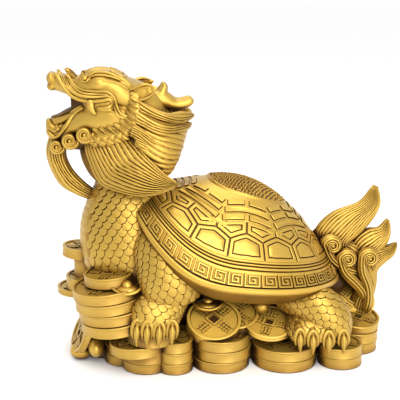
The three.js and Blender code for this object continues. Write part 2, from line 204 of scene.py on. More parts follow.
def limb(path, wide, deep, side=(0, 1, 0), hand=1, around=40, along=36, blunt=0.12):
    """A form along a path of middles, with its half widths along side and its half depths across it. blunt is
    the share of the path over which each end rounds off."""
    shares = end_crowded(0.02, along)
    spine = curve(on_hand(path, hand), shares)
    ahead = unit(np.gradient(spine, axis=0))
    across = on_hand(side, hand)
    beside = unit(across - ahead * (ahead @ across)[:, None])
    over = np.cross(ahead, beside)
    end = np.clip(np.minimum(shares, 1 - shares) / max(blunt, 1e-6), 0, 1)
    cap = np.sqrt(1 - (1 - end) ** 2)[:, None]
    half_wide, half_deep = curve(wide, shares) * cap, curve(deep, shares) * cap
    angle = circle(around)
    ring = beside[:, None] * (half_wide * np.cos(angle))[..., None]
    ring = ring + over[:, None] * (half_deep * np.sin(angle))[..., None]
    return Form(spine[:, None] + ring)


def lock_angles(around):
    """Angles round a lock, a little closer together on its edges."""
    angle = circle(around)
    return angle + 0.12 * np.sin(2 * angle)


def lock(upper, lower, thick, hand, around, along):
    """A form between two borders, thick in its middle."""
    shares = np.linspace(0, 1, along)
    top, bottom = (curve(on_hand(line, hand), shares) for line in (upper, lower))
    middle, half = (top + bottom) / 2, (bottom - top) / 2
    over = unit(np.cross(np.gradient(top, axis=0) + np.gradient(bottom, axis=0), half))
    angle = lock_angles(around)
    bulk = curve(thick, shares) * np.sin(angle)
    ring = half[:, None] * np.cos(angle)[None, :, None] + over[:, None] * bulk[..., None]
    return Form(middle[:, None] + ring)


def block(stations, square=2.4):
    """A form along the figure with squarish sections: each station is (x, top, bottom, half width)."""
    x, top, bottom, half = curve(stations, end_crowded(0.03, 66)).T[..., None]
    c, s = np.cos(circle(72)), np.sin(circle(72))
    y = half * np.sign(c) * np.abs(c) ** (2 / square)
    z = (top + bottom) / 2 + (top - bottom) / 2 * np.sign(s) * np.abs(s) ** (2 / square)
    return Form(np.stack([np.broadcast_to(x, y.shape), y, z], -1))


def ball(centre, radii, hand=1, around=24, along=16):
    tilt = np.linspace(0.03, 0.97, along)[:, None] * math.pi
    angle = circle(around)
    reach = np.sin(tilt)
    spots = np.stack([reach * np.cos(angle), reach * np.sin(angle), np.cos(tilt) + 0 * angle], -1)
    return Form(spots * np.asarray(radii, float) + on_hand(centre, hand))


# Skins: a form with its relief, ready to be a mesh. Each point has a darkening that is 1 in the deepest
# recess and below 0 where it is painted lighter: it holds the patina of recesses together with painted shade,
# painted shadow and painted highlights.

def walls(rings, corners):
    """Faces between neighbouring rings of corners."""
    i, j = np.meshgrid(np.arange(rings - 1), np.arange(corners), indexing="ij")
    k = (j + 1) % corners
    low, high = i * corners, (i + 1) * corners
    return np.stack([low + j, low + k, high + k, high + j], -1).reshape(-1, 4)


def facing_out(points, faces):
    """The groups of faces, turned round where the first group looks inwards."""
    a, b, c = (points[faces[0][:, n]] for n in range(3))
    inwards = np.einsum("ij,ij->", a - points.mean(0), np.cross(b - a, c - a)) < 0
    return [group[:, ::-1] for group in faces] if inwards else faces


def skin(form, relief=0.0, patina_and_painted_light=0.0):
    rows, cols = form.points.shape[:2]
    points = form.points + form.normals * np.broadcast_to(relief, (rows, cols))[..., None]
    flat = np.vstack([points.reshape(-1, 3), points[0].mean(0), points[-1].mean(0)])
    j, k = np.arange(cols), (np.arange(cols) + 1) % cols
    start = np.stack([np.full(cols, rows * cols), k, j], -1)
    last = (rows - 1) * cols
    finish = np.stack([np.full(cols, rows * cols + 1), last + j, last + k], -1)
    shade = np.concatenate([np.broadcast_to(patina_and_painted_light, (rows, cols)).reshape(-1), [0, 0]])
    return flat, facing_out(flat, [walls(rows, cols), start, finish]), shade


def strands(form, count, height, seed=0, taper=0.06, wander=0.25):
    """Relief and darkening of rounded strands of hair that run along a form: the grooves between the strands
    are painted dark, patina together with painted shade.
    """
    random = np.random.default_rng(seed)
    share = np.linspace(0, 1, len(form.points))[:, None]
    drift = wander * np.sin(share * 5 + 2 * math.pi * form.turn * 3 + seed)
    phase = form.turn * count + drift
    ridge = np.abs(np.sin(math.pi * phase)) ** 0.6
    thickness = random.uniform(0.65, 1.1, count + 2)[np.floor(phase).astype(int) % count]
    end = smooth(0, taper, share) * (1 - smooth(1 - taper, 1, share))
    return height * (ridge * thickness - 0.5) * end, (1 - ridge) ** 1.6


def outline_mesh(outlines, shades):
    """Rings of an outline, joined from the lowest to the highest. outlines is (pieces, rings, corners, 3)."""
    pieces, rings, corners = outlines.shape[:3]
    points = outlines.reshape(-1, 3)
    base = np.arange(pieces)[:, None, None] * rings * corners
    quads = (walls(rings, corners)[None] + base).reshape(-1, 4)
    j, k = np.arange(corners), (np.arange(corners) + 1) % corners
    last = (rings - 1) * corners
    top = len(points) + np.arange(pieces)[:, None]
    ends = [(top, last + j, last + k), (top + pieces, k, j)]
    fans = [np.stack([tip + 0 * a, base[:, 0] + a, base[:, 0] + b], -1).reshape(-1, 3) for tip, a, b in ends]
    sides = np.tile(np.repeat(shades, corners), pieces)
    shade = np.concatenate([sides, np.full(pieces, shades[-1]), np.ones(pieces)])
    return np.vstack([points, outlines[:, -1].mean(1), outlines[:, 0].mean(1)]), [quads, *fans], shade


def make_piece(name, parts, finish, sharp=40):
    """One mesh object from several skins, in metres, riding on the frame in place of the casting."""
    points, counts, corners, shades, base = [], [], [], [], 0
    for spots, faces, shade in parts:
        points.append(spots)
        shades.append(shade)
        for group in faces:
            corners.append((group + base).reshape(-1))
            counts.append(np.full(len(group), group.shape[1]))
        base += len(spots)
    corners, counts = np.concatenate(corners), np.concatenate(counts)
    mesh = bpy.data.meshes.new(name)
    mesh.vertices.add(base)
    mesh.vertices.foreach_set("co", (np.vstack(points) * SHARE * METRES).astype(np.float32).ravel())
    mesh.loops.add(len(corners))
    mesh.loops.foreach_set("vertex_index", corners.astype(np.int32))
    mesh.polygons.add(len(counts))
    mesh.polygons.foreach_set("loop_start", (np.cumsum(counts) - counts).astype(np.int32))
    mesh.update(calc_edges=True)
    set_patina_and_painted_light(mesh, np.concatenate(shades))
    piece = bpy.data.objects.new(name, mesh)
    bpy.context.scene.collection.objects.link(piece)
    return finish_piece(piece, finish, sharp)


# Stores each point's darkening: patina in recesses together with painted shade, and painted highlights where
# it is below 0.
def set_patina_and_painted_light(mesh, shade):
    known = mesh.attributes.get("patina_and_painted_light")
    if known:
        mesh.attributes.remove(known)
    mesh.attributes.new("patina_and_painted_light", "FLOAT", "POINT").data.foreach_set("value", shade.astype(np.float32))


def finish_piece(piece, finish, sharp):
    piece.data.materials.clear()
    piece.data.materials.append(brass(finish))
    bpy.ops.object.select_all(action="DESELECT")
    piece.select_set(True)
    bpy.context.view_layer.objects.active = piece
    bpy.ops.object.shade_smooth_by_angle(angle=math.radians(sharp))
    piece.select_set(False)
    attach(piece, "root")
    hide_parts(NODE)
    return piece


# Aged brass

# Each finish has the roughness of its ground, its share of metal and how light its rubbed places are.
FINISHES = {
    "rubbed": (0.0, 0.85, 1.0),
    "cast": (0.3, 0.85, 0.85),
    "mellow": (0.0, 0.85, 0.87),
    "struck": (0.0, 0.6, 0.9),
    # Painted light: coins below the shell get this lighter, less metallic colour in place of the light they
    # miss.
    "brightened_in_shade": (0.0, 0.2, 1.45),
}


def node(tree, kind, inputs, **settings):
    """A new node, whose inputs are each given a value, or a link where an output is given."""
    made = tree.nodes.new("ShaderNode" + kind)
    for name, value in settings.items():
        setattr(made, name, value)
    for name, value in inputs.items():
        if isinstance(value, bpy.types.NodeSocket):
            tree.links.new(value, made.inputs[name])
        else:
            made.inputs[name].default_value = value
    return made.outputs


def brass(finish):
    """Brass that is bright where it is rubbed and brown in its recesses, with painted shade: ambient
    occlusion and each point's darkening paint creases, recesses and shaded places darker.
    """
    name = f"{finish} brass"
    known = bpy.data.materials.get(name)
    if known:
        return known
    grain, metallic, lift = FINISHES[finish]
    look = bpy.context.scene.turtle_finish
    material = bpy.data.materials.new(name)
    material.use_nodes = True
    tree = material.node_tree
    shader = tree.nodes["Principled BSDF"].inputs
    shader["Metallic"].default_value = metallic
    shader["Coat Weight"].default_value = 0.2
    shader["Coat Roughness"].default_value = 0.3

    # Painted shade: ambient occlusion darkens the colour in creases, in recesses and under other parts. Each
    # point's darkening adds patina and more painted shade, and paints highlights where it is below 0.
    near = node(tree, "AmbientOcclusion", {"Distance": 0.009}, samples=8)["AO"]
    lit = node(tree, "MapRange", {"Value": near, "From Min": 0.25, "From Max": 0.92})["Result"]
    patina_and_painted_light = node(tree, "Attribute", {}, attribute_name="patina_and_painted_light")["Fac"]
    depth = node(tree, "Math", {0: patina_and_painted_light, 1: 0.85}, operation="MULTIPLY")["Value"]
    unshaded_share = node(tree, "Math", {0: lit, 1: depth}, operation="SUBTRACT", use_clamp=True)["Value"]
    place = node(tree, "TexCoord", {})["Object"]
    patches = node(tree, "TexNoise", {"Vector": place, "Scale": 60, "Detail": 4})["Fac"]
    spread = node(tree, "MapRange", {"Value": patches, "To Min": -0.14, "To Max": 0.14})["Result"]
    wear_and_shade = node(tree, "Math", {0: unshaded_share, 1: spread}, operation="ADD", use_clamp=True)["Value"]

    tone = tree.nodes.new("ShaderNodeValToRGB")
    ramp = tone.color_ramp.elements
    ramp[0].color = (*look.dark, 1)
    ramp[0].position = 0.12
    ramp[1].color = (*(min(1, value * lift) for value in look.bright), 1)
    ramp[1].position = 0.85
    ramp.new(0.48).color = (*look.worn_and_shaded, 1)
    tree.links.new(wear_and_shade, tone.inputs["Fac"])
    tree.links.new(tone.outputs["Color"], shader["Base Color"])

    gloss = look.gloss + grain * 0.12
    dull = node(tree, "MapRange", {"Value": wear_and_shade, "To Min": 0.62, "To Max": gloss})["Result"]
    tree.links.new(dull, shader["Roughness"])
    pits = node(tree, "TexNoise", {"Vector": place, "Scale": 1100, "Detail": 2})["Fac"]
    bump = node(tree, "Bump", {"Height": pits, "Strength": 0.12 + grain, "Distance": 0.0003})["Normal"]
    tree.links.new(bump, shader["Normal"])
    return material


FLANKS = (("near", 1), ("far", -1))


def both_hands(make):
    """What make gives for the near side and for the far side, in one list."""
    return [part for _, hand in FLANKS for part in make(hand)]


# Shell

# The shell's own sizes are in millimetres, and the powers say how square its plan and its dome are.
SHELL_MIDDLE = 4
SHELL_LENGTH = 158
SHELL_WIDTH = 139
HEAD_END_REACH = SHELL_LENGTH * 0.481
TAIL_END_REACH = SHELL_LENGTH * 0.519
HEAD_END_POWER = 2.48
TAIL_END_POWER = 2.0
PATTERN_SHIFT = 0.105
RIM_HEIGHT = 68.5
RIM_SLOPE = 9.8
RIM_SWEEP = 43
DOME_RISE = 66
DOME_POWER = 0.95
HEAD_END_FULLER = 0.2
LIP_THICKNESS = 3.4
# How far the rounded lip stands out, and how far below the rim, from its top to its underside.
LIP_ROWS = ((0.5, 0.1), (0.9, 1.0), (0.9, 2.2), (0.4, 3.2), (-0.8, 3.8))
LIP_BEAD = 0.7
BELLY_DROP = 19
GROUND_DEPTH = 0.5
GRAIN_PITCH = 2.5
# How dark the grounds below the fret and between the plates are painted, patina together with painted shade,
# and the underside, painted shade under the shell.
FRET_SHADE = 0.35
CELL_SHADE = 0.75
BELLY_SHADE = 0.78

# Places and widths in the shell's pattern are shares of the rim's radius.
DISC_EDGE = 0.369
DISC_SHIFT = 0.045
BAR_ROWS = (0.452, 0.518, 0.581)
BAR_HALF_WIDTH = 0.022
BAR_BREAK = 0.022
EIGHT_SIDED_EDGE = 0.611
VALLEY = 0.7
PEAK = 0.748
PLATE_FOOT = 0.862
RING_GROOVES = (0.872, 0.888, 0.908, 0.99)
GROOVE_WIDTH = 0.0038
FRET_BAND = (0.926, 0.985)
BELLY_RINGS = (0.975, 0.95, 0.92, 0.88, 0.83, 0.77, 0.7, 0.6, 0.45, 0.3, 0.1)

EIGHTH = 45
PLATE_COLUMNS = 16
FRET_FILL = 0.94
SHELL_SIDES = 216
DISC_SIDES = 288
# The bars on each of the eight sides, from the disc outwards: 1 is a whole bar and 0 a broken one.
TRIGRAMS = ("000", "100", "101", "110", "111", "011", "010", "001")


def shell_point(p, q, lift=0.0):
    """A point over the shell's pattern plane, where the rim is the circle of radius 1."""
    power = np.where(p < 0, HEAD_END_POWER, TAIL_END_POWER)
    radius = np.hypot(p, q)
    spread = (np.abs(p) ** power + np.abs(q) ** power) ** (1 / power)
    stretch = np.where(radius > 1e-6, radius / np.maximum(spread, 1e-6), 1.0)
    u = p * stretch + PATTERN_SHIFT * (1 - np.minimum(1, radius ** 2))
    v = q * stretch
    power = np.where(u < 0, HEAD_END_POWER, TAIL_END_POWER)
    reach = (np.abs(u) ** power + np.abs(v) ** power) ** (1 / power)
    rise = DOME_RISE * np.maximum(0, 1 - reach ** 2) ** (DOME_POWER - HEAD_END_FULLER * smooth(0, 0.8, -u))
    x = SHELL_MIDDLE + u * np.where(u < 0, HEAD_END_REACH, TAIL_END_REACH)
    return np.stack([x, v * SHELL_WIDTH / 2, rim_height(u) + rise + lift], -1)


def rim_height(u):
    return RIM_HEIGHT - RIM_SLOPE * u + RIM_SWEEP * np.maximum(0, -u) ** 3


def shell_frame(p, q):
    """The point, the outward normal and the two tangents of the shell at a place of its pattern."""
    step = 1e-3
    along_p = (shell_point(p + step, q) - shell_point(p - step, q)) / (2 * step)
    along_q = (shell_point(p, q + step) - shell_point(p, q - step)) / (2 * step)
    return shell_point(p, q), unit(np.cross(along_p, along_q)), along_p, along_q


def polar(radius, degrees):
    angle = np.radians(degrees)
    return np.stack([radius * np.cos(angle), radius * np.sin(angle)], -1)


def inset(corners, distance):
    """A convex outline moved inwards by a distance on every side."""
    ahead = unit(np.roll(corners, -1, 0) - corners)
    inward = np.stack([-ahead[:, 1], ahead[:, 0]], -1)
    before = np.roll(inward, 1, 0)
    mitre = inward + before
    return corners + mitre * (distance / np.maximum(1 + (inward * before).sum(1), 0.3))[:, None]


SIDE_STEP = 3.0


def raised(corners, profile):
    """A piece raised from the shell over an outline in its pattern: profile has (inset, height, darkening),
    where the grooves are painted dark, patina together with painted shade.
    """
    corners = np.asarray(corners, float)
    centre = corners.mean(0)
    _, _, along_p, along_q = shell_frame(centre[0], centre[1])
    metric = np.array([[along_p @ along_p, along_p @ along_q], [along_p @ along_q, along_q @ along_q]])
    values, vectors = np.linalg.eigh(metric)
    to_plane = vectors @ np.diag(np.sqrt(values)) @ vectors.T
    from_plane = np.linalg.inv(to_plane)
    flat = (corners - centre) @ to_plane.T
    turned = flat - np.roll(flat, 1, 0)
    if np.cross(turned, np.roll(turned, -1, 0)).sum() < 0:
        flat = flat[::-1]
    sides = np.linalg.norm(np.roll(flat, -1, 0) - flat, axis=1)
    counts = [max(1, int(round(side / SIDE_STEP))) for side in sides]
    rings = []
    for distance, height, _ in profile:
        ring = inset(flat, distance)
        points = []
        for a, b, count in zip(ring, np.roll(ring, -1, 0), counts):
            points.extend(a + (b - a) * k / count for k in range(count))
        places = np.array(points) @ from_plane.T + centre
        point, normal, _, _ = shell_frame(places[:, 0], places[:, 1])
        rings.append(point + normal * height)
    shades = np.array([row[2] for row in profile], float)
    return outline_mesh(np.array(rings)[None], shades)


def shell_rings():
    """Radii of the body's rings, closer together where a groove runs round."""
    spots = [np.linspace(0.01, 0.93, 56), np.linspace(0.934, 0.998, 26)]
    for groove in (*RING_GROOVES, EIGHT_SIDED_EDGE):
        spots.append(groove + np.linspace(-0.012, 0.012, 9))
    return np.unique(np.round(np.concatenate(spots), 4))


def shell_body():
    sizes = bpy.context.scene.turtle_carving
    turn = circle(SHELL_SIDES)
    radii = shell_rings()[:, None]
    p, q = radii * np.cos(turn), radii * np.sin(turn)
    top = shell_point(p, q)
    relief, patina_and_painted_light = np.zeros_like(p), np.zeros_like(p)
    for groove in RING_GROOVES:
        near = np.exp(-((radii - groove) / GROOVE_WIDTH) ** 2)
        relief -= sizes.groove_depth * near
        patina_and_painted_light = np.maximum(patina_and_painted_light, near)
    low, high = FRET_BAND
    ground = smooth(low - 0.004, low, radii) * (1 - smooth(high, high + 0.004, radii))
    relief -= GROUND_DEPTH * ground
    patina_and_painted_light = np.maximum(patina_and_painted_light, FRET_SHADE * ground)
    relief += LIP_BEAD * smooth(0.986, 0.994, radii)
    cells = smooth(0, 0.01, radii - eight_sided(EIGHT_SIDED_EDGE, np.degrees(turn)))
    cells = cells * (1 - smooth(PLATE_FOOT - 0.012, PLATE_FOOT, radii))
    relief -= GROUND_DEPTH * cells
    patina_and_painted_light = np.maximum(patina_and_painted_light, CELL_SHADE * cells)
    rim = shell_point(np.cos(turn), np.sin(turn))
    out = unit(rim - np.array([SHELL_MIDDLE, 0, 0])) * (1, 1, 0)
    lip = [rim + out * bulge - np.array([0, 0, drop]) for bulge, drop in LIP_ROWS]
    under = []
    for radius in BELLY_RINGS:
        ring = shell_point(radius * np.cos(turn), radius * np.sin(turn))
        drop = LIP_THICKNESS + BELLY_DROP * (1 - radius ** 4)
        ring[:, 2] = rim_height(radius * np.cos(turn)) - drop
        under.append(ring)
    form = Form(np.concatenate([top, np.array(lip), np.array(under)]))
    # Painted shade: the lip darkens towards its underside, and the underside below the rim is painted dark.
    below = np.concatenate([np.linspace(0, 0.6, len(LIP_ROWS)), np.full(len(BELLY_RINGS), BELLY_SHADE)])
    below = below[:, None] + 0 * turn
    return skin(form, np.vstack([relief, 0 * below]), np.vstack([patina_and_painted_light, below]))


def plate_profile(depth):
    """Inset, height and darkening from a plate's edge to its middle: groove, band, groove, cushion. The
    grooves are painted dark, patina together with painted shade.
    """
    return [(0.35, -1.8, 1.0), (0.35, -0.5, 1.0), (0.7, 0.1, 0.1), (1.0, 0.25, 0.0), (2.7, 0.25, 0.0),
            (3.0, 0.1, 0.2), (3.25, 0.25 - depth, 1.0), (3.6, 0.25 - depth, 1.0), (4.0, 0.0, 0.15),
            (5.0, 0.28, 0.0), (7.0, 0.5, 0.0)]


def eight_sided(radius_at, degrees):
    """Radius of an eight-sided outline at an angle."""
    side = (degrees + EIGHTH / 2) % EIGHTH - EIGHTH / 2
    return radius_at / np.cos(np.radians(side))


def shell_plates():
    profile = plate_profile(bpy.context.scene.turtle_carving.groove_depth)
    step = 360 / PLATE_COLUMNS
    parts = []
    for column in range(PLATE_COLUMNS):
        a, b = column * step, (column + 0.5) * step
        outer = [polar(PLATE_FOOT, a + step * share) for share in (-0.5, -0.17, 0.17, 0.5)]
        outer += [polar(PEAK, a + step / 2), polar(VALLEY, a), polar(PEAK, a - step / 2)]
        parts.append(raised(outer, profile))
        tops = [b - step / 2, b + step / 2]
        inner = [polar(eight_sided(EIGHT_SIDED_EDGE, t), t) for t in tops]
        inner += [polar(VALLEY, tops[1]), polar(PEAK, b), polar(VALLEY, tops[0])]
        parts.append(raised(inner, profile[:8] + [(4.0, 0.0, 0.15), (4.6, 0.2, 0.0)]))
    return parts


def shell_bars():
    height = bpy.context.scene.turtle_carving.bar_height
    # The foot of each bar is painted dark, patina together with painted shade.
    profile = [(-0.35, -1.5, 1.0), (-0.35, 0.06, 1.0), (0.0, 0.1, 0.9), (0.1, height * 0.8, 0.1),
               (0.4, height, 0.0)]
    parts = []
    for side, rows in enumerate(TRIGRAMS):
        turn = math.radians(EIGHTH * side)
        for middle, whole in zip(BAR_ROWS, rows):
            reach = middle * math.tan(math.radians(EIGHTH / 2)) * 0.9
            spans = [(-reach, reach)] if whole == "1" else [(-reach, -BAR_BREAK), (BAR_BREAK, reach)]
            for start, stop in spans:
                box = np.array([(middle - BAR_HALF_WIDTH, start), (middle + BAR_HALF_WIDTH, start),
                                (middle + BAR_HALF_WIDTH, stop), (middle - BAR_HALF_WIDTH, stop)])
                spun = box @ np.array([[math.cos(turn), math.sin(turn)], [-math.sin(turn), math.cos(turn)]])
                parts.append(raised(spun, profile))
    return parts


GRAIN_ROWS = 0.866
GRAIN_JOG = 0.17
GRAIN_TABLE = 64


def grains(x, y):
    """Height from 0 to 1 of a ground of small round grains in rows, each a little off its place."""
    row = np.round(y / GRAIN_ROWS).astype(int)
    x = x - 0.5 * (row % 2)
    column = np.round(x).astype(int)
    jogs = np.random.default_rng(4).uniform(-GRAIN_JOG, GRAIN_JOG, (2, GRAIN_TABLE, GRAIN_TABLE))
    jog = jogs[:, column % GRAIN_TABLE, row % GRAIN_TABLE]
    return np.clip(1.15 - 2.5 * np.hypot(x - column - jog[0], y - row * GRAIN_ROWS - jog[1]), 0, 1)


def shell_disc():
    """The stippled disc in the middle, with a smooth sloping edge."""
    turn = circle(DISC_SIDES)
    radii = np.linspace(0.004, DISC_EDGE + 0.015, 72)
    p, q = DISC_SHIFT + radii[:, None] * np.cos(turn), radii[:, None] * np.sin(turn)
    top = shell_point(p, q)
    form = Form(np.concatenate([top, shell_point(p[-1:], q[-1:], -4)]))
    grain = grains(form.points[..., 0] / GRAIN_PITCH, form.points[..., 1] / GRAIN_PITCH)
    past_edge = np.append(radii, 1)[:, None] - DISC_EDGE
    field, edge = 1 - smooth(-0.022, -0.012, past_edge), 1 - smooth(-0.005, 0.015, past_edge)
    # Painted shade: the disc is painted darker towards its far side, and the gaps between its grains are
    # darkened, patina together with painted shade.
    far_side_painted_shade = 0.5 * smooth(-0.12, 0.22, np.vstack([q, q[-1:]]))
    return skin(form, edge + (1.5 * grain - 0.9) * field, field * (far_side_painted_shade + (1 - grain) * 0.7))


FRET_PATH = ((0.02, 0.0), (0.02, 0.98), (0.86, 0.98), (0.86, 0.2), (0.26, 0.2), (0.26, 0.74), (0.62, 0.74),
             (0.62, 0.46), (0.44, 0.46))
# Half width and height of the line's foot, ground and top.
FRET_SECTION = ((0.72, -1.2), (0.72, -0.4), (0.42, 0.35))


def shell_fret():
    """Square spirals between two rings: each is one raised line with mitred corners."""
    units = bpy.context.scene.turtle_carving.fret_units
    low, high = FRET_BAND
    middle = (low + high) / 2
    parts = []
    for index in range(units):
        start, span = 360 / units * index, 360 / units * FRET_FILL
        angle = math.radians(start + span / 2)
        _, _, along_p, along_q = shell_frame(middle * math.cos(angle), middle * math.sin(angle))
        outward = np.linalg.norm(along_p * math.cos(angle) + along_q * math.sin(angle))
        around = np.linalg.norm(along_q * math.cos(angle) - along_p * math.sin(angle)) * middle
        width, depth = math.radians(span) * around, (high - low) * outward
        path = np.array(FRET_PATH) * (width, depth)
        ahead = unit(np.diff(path, axis=0))
        left = np.stack([-ahead[:, 1], ahead[:, 0]], -1)
        sides = np.vstack([left[:1], left[:-1] + left[1:], left[-1:]])
        sides /= np.maximum((sides * np.vstack([left, left[-1:]])).sum(1, keepdims=True), 0.3)
        rings = []
        for half, lift in FRET_SECTION:
            line = np.vstack([path + sides * half, (path - sides * half)[::-1]])
            radius = low + line[:, 1] / outward
            turn = np.radians(start) + line[:, 0] / around
            point, normal, _, _ = shell_frame(radius * np.cos(turn), radius * np.sin(turn))
            rings.append(point + normal * lift)
        parts.append(strip_mesh(np.array(rings)))
    return parts


def strip_mesh(rings):
    """A raised line from its rings: each ring goes up one side of the line and back down the other."""
    count, corners = rings.shape[:2]
    a = np.arange(corners // 2 - 1)
    top = (count - 1) * corners
    lid = np.stack([top + a, top + a + 1, top + corners - 2 - a, top + corners - 1 - a], -1)
    floor = np.stack([a, corners - 1 - a, corners - 2 - a, a + 1], -1)
    points = rings.reshape(-1, 3)
    quads = np.vstack([walls(count, corners), lid, floor])
    # The line's foot is painted dark, patina together with painted shade, and its top is left bright.
    return points, facing_out(points, [quads]), np.repeat([1.0, 0.9, 0.0], corners)


class TURTLE_OT_shell(Operator):
    """Make the shell with its plates, bars, disc and fret"""
    bl_idname = "turtle.shell"
    bl_label = "Shell"

    def execute(self, context):
        make_piece("shell", [shell_body()], "rubbed")
        make_piece("shell_plates", shell_plates(), "rubbed", sharp=25)
        make_piece("shell_bars", shell_bars(), "rubbed", sharp=35)
        make_piece("shell_disc", [shell_disc()], "cast", sharp=60)
        make_piece("shell_fret", shell_fret(), "rubbed", sharp=30)
        return {"FINISHED"}


# Scales, ribbons, curls and tufts

SCALE_PITCH = 0.64
SCALE_DROP = 0.58


def scales(form, side, start, stop, reach, width, height, keep=None):
    """Fish scales in staggered rows, each the shield that its upper neighbours leave in view, over the turns
    within reach of side. keep says which places may have one."""
    pitch, drop = SCALE_PITCH * width, SCALE_DROP * width
    centres = []
    for row, way in enumerate(np.arange(start, stop, pitch)):
        girth = np.interp(way, form.way, form.girth)
        half = reach * girth
        count = int(half / width) + 1
        for column in range(-count, count + 1):
            across = (column + 0.5 * (row % 2)) * width
            if abs(across) <= half:
                centres.append((side + across / girth, way, girth))
    centres = np.array(centres)
    if keep:
        centres = centres[keep(form.at(centres[:, 0], centres[:, 1])[0])]
    free = np.radians(np.linspace(-90, 90, 7))
    tucked = np.radians([0, -30, -60, -90])
    beside = width / 2 * (1 + np.sin(tucked))
    across = np.concatenate([width / 2 * np.sin(free), beside[1:], -beside[-2:0:-1]])
    above = drop * np.cos(tucked) - pitch
    ahead = np.concatenate([drop * np.cos(free), above[1:], above[-2:0:-1]])
    lift = (ahead + pitch) / (drop + pitch)
    rings = []
    for grow, low, high in ((0.99, -1.0, -0.4), (0.99, 0.05, height * 0.7), (0.92, 0.2, height),
                            (0.5, 0.3, height)):
        turn = centres[:, :1] + grow * across / centres[:, 2:]
        way = centres[:, 1:2] + grow * ahead
        point, normal = form.at(turn, way)
        rings.append(point + normal * (low + (high - low) * lift)[None, :, None])
    # Painted shadow: the sunk ring under the free edge of the scale above is painted dark and the edge ring
    # half dark, while the rim is painted a little lighter.
    return outline_mesh(np.stack(rings, 1), np.array([1.0, 0.7, -0.05, 0.0]))


def ribbon(path, radius, hand=1, side=(0, 1, 0), around=10, along=30, flat=1.0, patina_and_painted_light=0.0, blunt=0.1):
    """A round moulding along a path, thinner at its ends where radius is a list."""
    wide = radius if isinstance(radius, (list, tuple)) else [radius] * len(path)
    deep = [value * flat for value in wide]
    return skin(limb(path, wide, deep, side, hand, around, along, blunt), 0, patina_and_painted_light)


def spiral_path(centre, radius, turns, start, depth, ends):
    """Points of a curl in the upright plane, from its outer end to its middle."""
    share = np.linspace(0, 1, int(turns * 12) + 2)
    angle = math.radians(start) - share * turns * 2 * math.pi
    reach = radius * (1 - share * (1 - ends))
    x, y, z = centre
    return np.stack([x + reach * np.cos(angle), y - depth * share, z + reach * np.sin(angle)], -1)


def band(path, width, thick, ridges, hand, height):
    """A flat band of hair in the upright plane, with ridges along it."""
    form = limb(path, thick, width, (0, 1, 0), hand, 48, 62, blunt=0.04)
    return skin(form, *strands(form, ridges, height, taper=0.02, wander=0.0))


def hair_lock(upper, lower, thick, count, height, hand=1, seed=0, along=38):
    form = lock(upper, lower, thick, hand, 6 * count + 40, along)
    return skin(form, *strands(form, count, height, seed))


def fused(name, forms, voxel, rounds, finish, shade=None):
    """One blended skin from several forms, as a caster's wax model is, with its creases softened."""
    piece = make_piece(name, [skin(form) for form in forms], finish)
    bpy.context.view_layer.objects.active = piece
    piece.select_set(True)
    remesh = piece.modifiers.new("blend", "REMESH")
    remesh.mode = "VOXEL"
    remesh.voxel_size = voxel * SHARE * METRES
    bpy.ops.object.modifier_apply(modifier=remesh.name)
    soften = piece.modifiers.new("soften", "SMOOTH")
    soften.factor = 0.5
    soften.iterations = rounds
    bpy.ops.object.modifier_apply(modifier=soften.name)
    piece.select_set(False)
    spots = np.empty(len(piece.data.vertices) * 3, np.float32)
    piece.data.vertices.foreach_get("co", spots)
    spots = spots.reshape(-1, 3) / (SHARE * METRES)
    set_patina_and_painted_light(piece.data, shade(spots) if shade else np.zeros(len(spots)))
    return finish_piece(piece, finish, sharp=70)


# Neck and chest

NECK_PATH = ((-73.5, 187), (-74.5, 163), (-72.5, 143.5), (-72, 129), (-72, 111.5), (-72, 95), (-70, 80.5),
             (-64, 66), (-56, 51.5), (-49, 35.5))
NECK_WIDE = (19, 21, 23, 26, 31, 34, 35, 34, 30, 24)
NECK_DEEP = (18, 19, 20, 26.5, 34, 37.5, 38, 36.5, 33, 27)
BELLY_PLATE_PITCH = 5.2


def neck_skin(form):
    """The neck with broad belly plates down its front."""
    from_front = np.abs((form.turn - front_turn(form) + 0.5) % 1 - 0.5)
    front = 1 - smooth(0.085, 0.1, from_front)
    seam = np.abs(np.sin(math.pi * form.way / BELLY_PLATE_PITCH))[:, None] ** 0.4
    edge = smooth(0.075, 0.085, from_front) * front
    plate = front * smooth(0.2, 0.75, seam) * (1 - edge)
    # The skin between the scales and the seams between the belly plates are painted dark, patina together
    # with painted shade.
    return skin(form, -0.4 + front * (0.9 * seam - 0.2), 0.7 - 0.7 * plate)


class TURTLE_OT_neck(Operator):
    """Make the neck and chest with their scales and belly plates"""
    bl_idname = "turtle.neck"
    bl_label = "Neck and chest"

    def execute(self, context):
        sizes = context.scene.turtle_carving
        form = limb(NECK_PATH, NECK_WIDE, NECK_DEEP, around=88, along=165)
        parts = [neck_skin(form)]
        for side, reach in ((0.27, 0.18), (0.5, 0.04), (-0.27, 0.18)):
            parts.append(scales(form, front_turn(form) + side, 36, 142, reach, sizes.scale_width,
                                sizes.scale_height))
        make_piece("neck", parts, "cast", sharp=35)
        return {"FINISHED"}


def front_turn(form):
    """The turn of a form at which it looks towards the head's end."""
    middle = len(form.points) // 2
    return form.turn[np.argmin(form.points[middle, :, 0])]


# Head

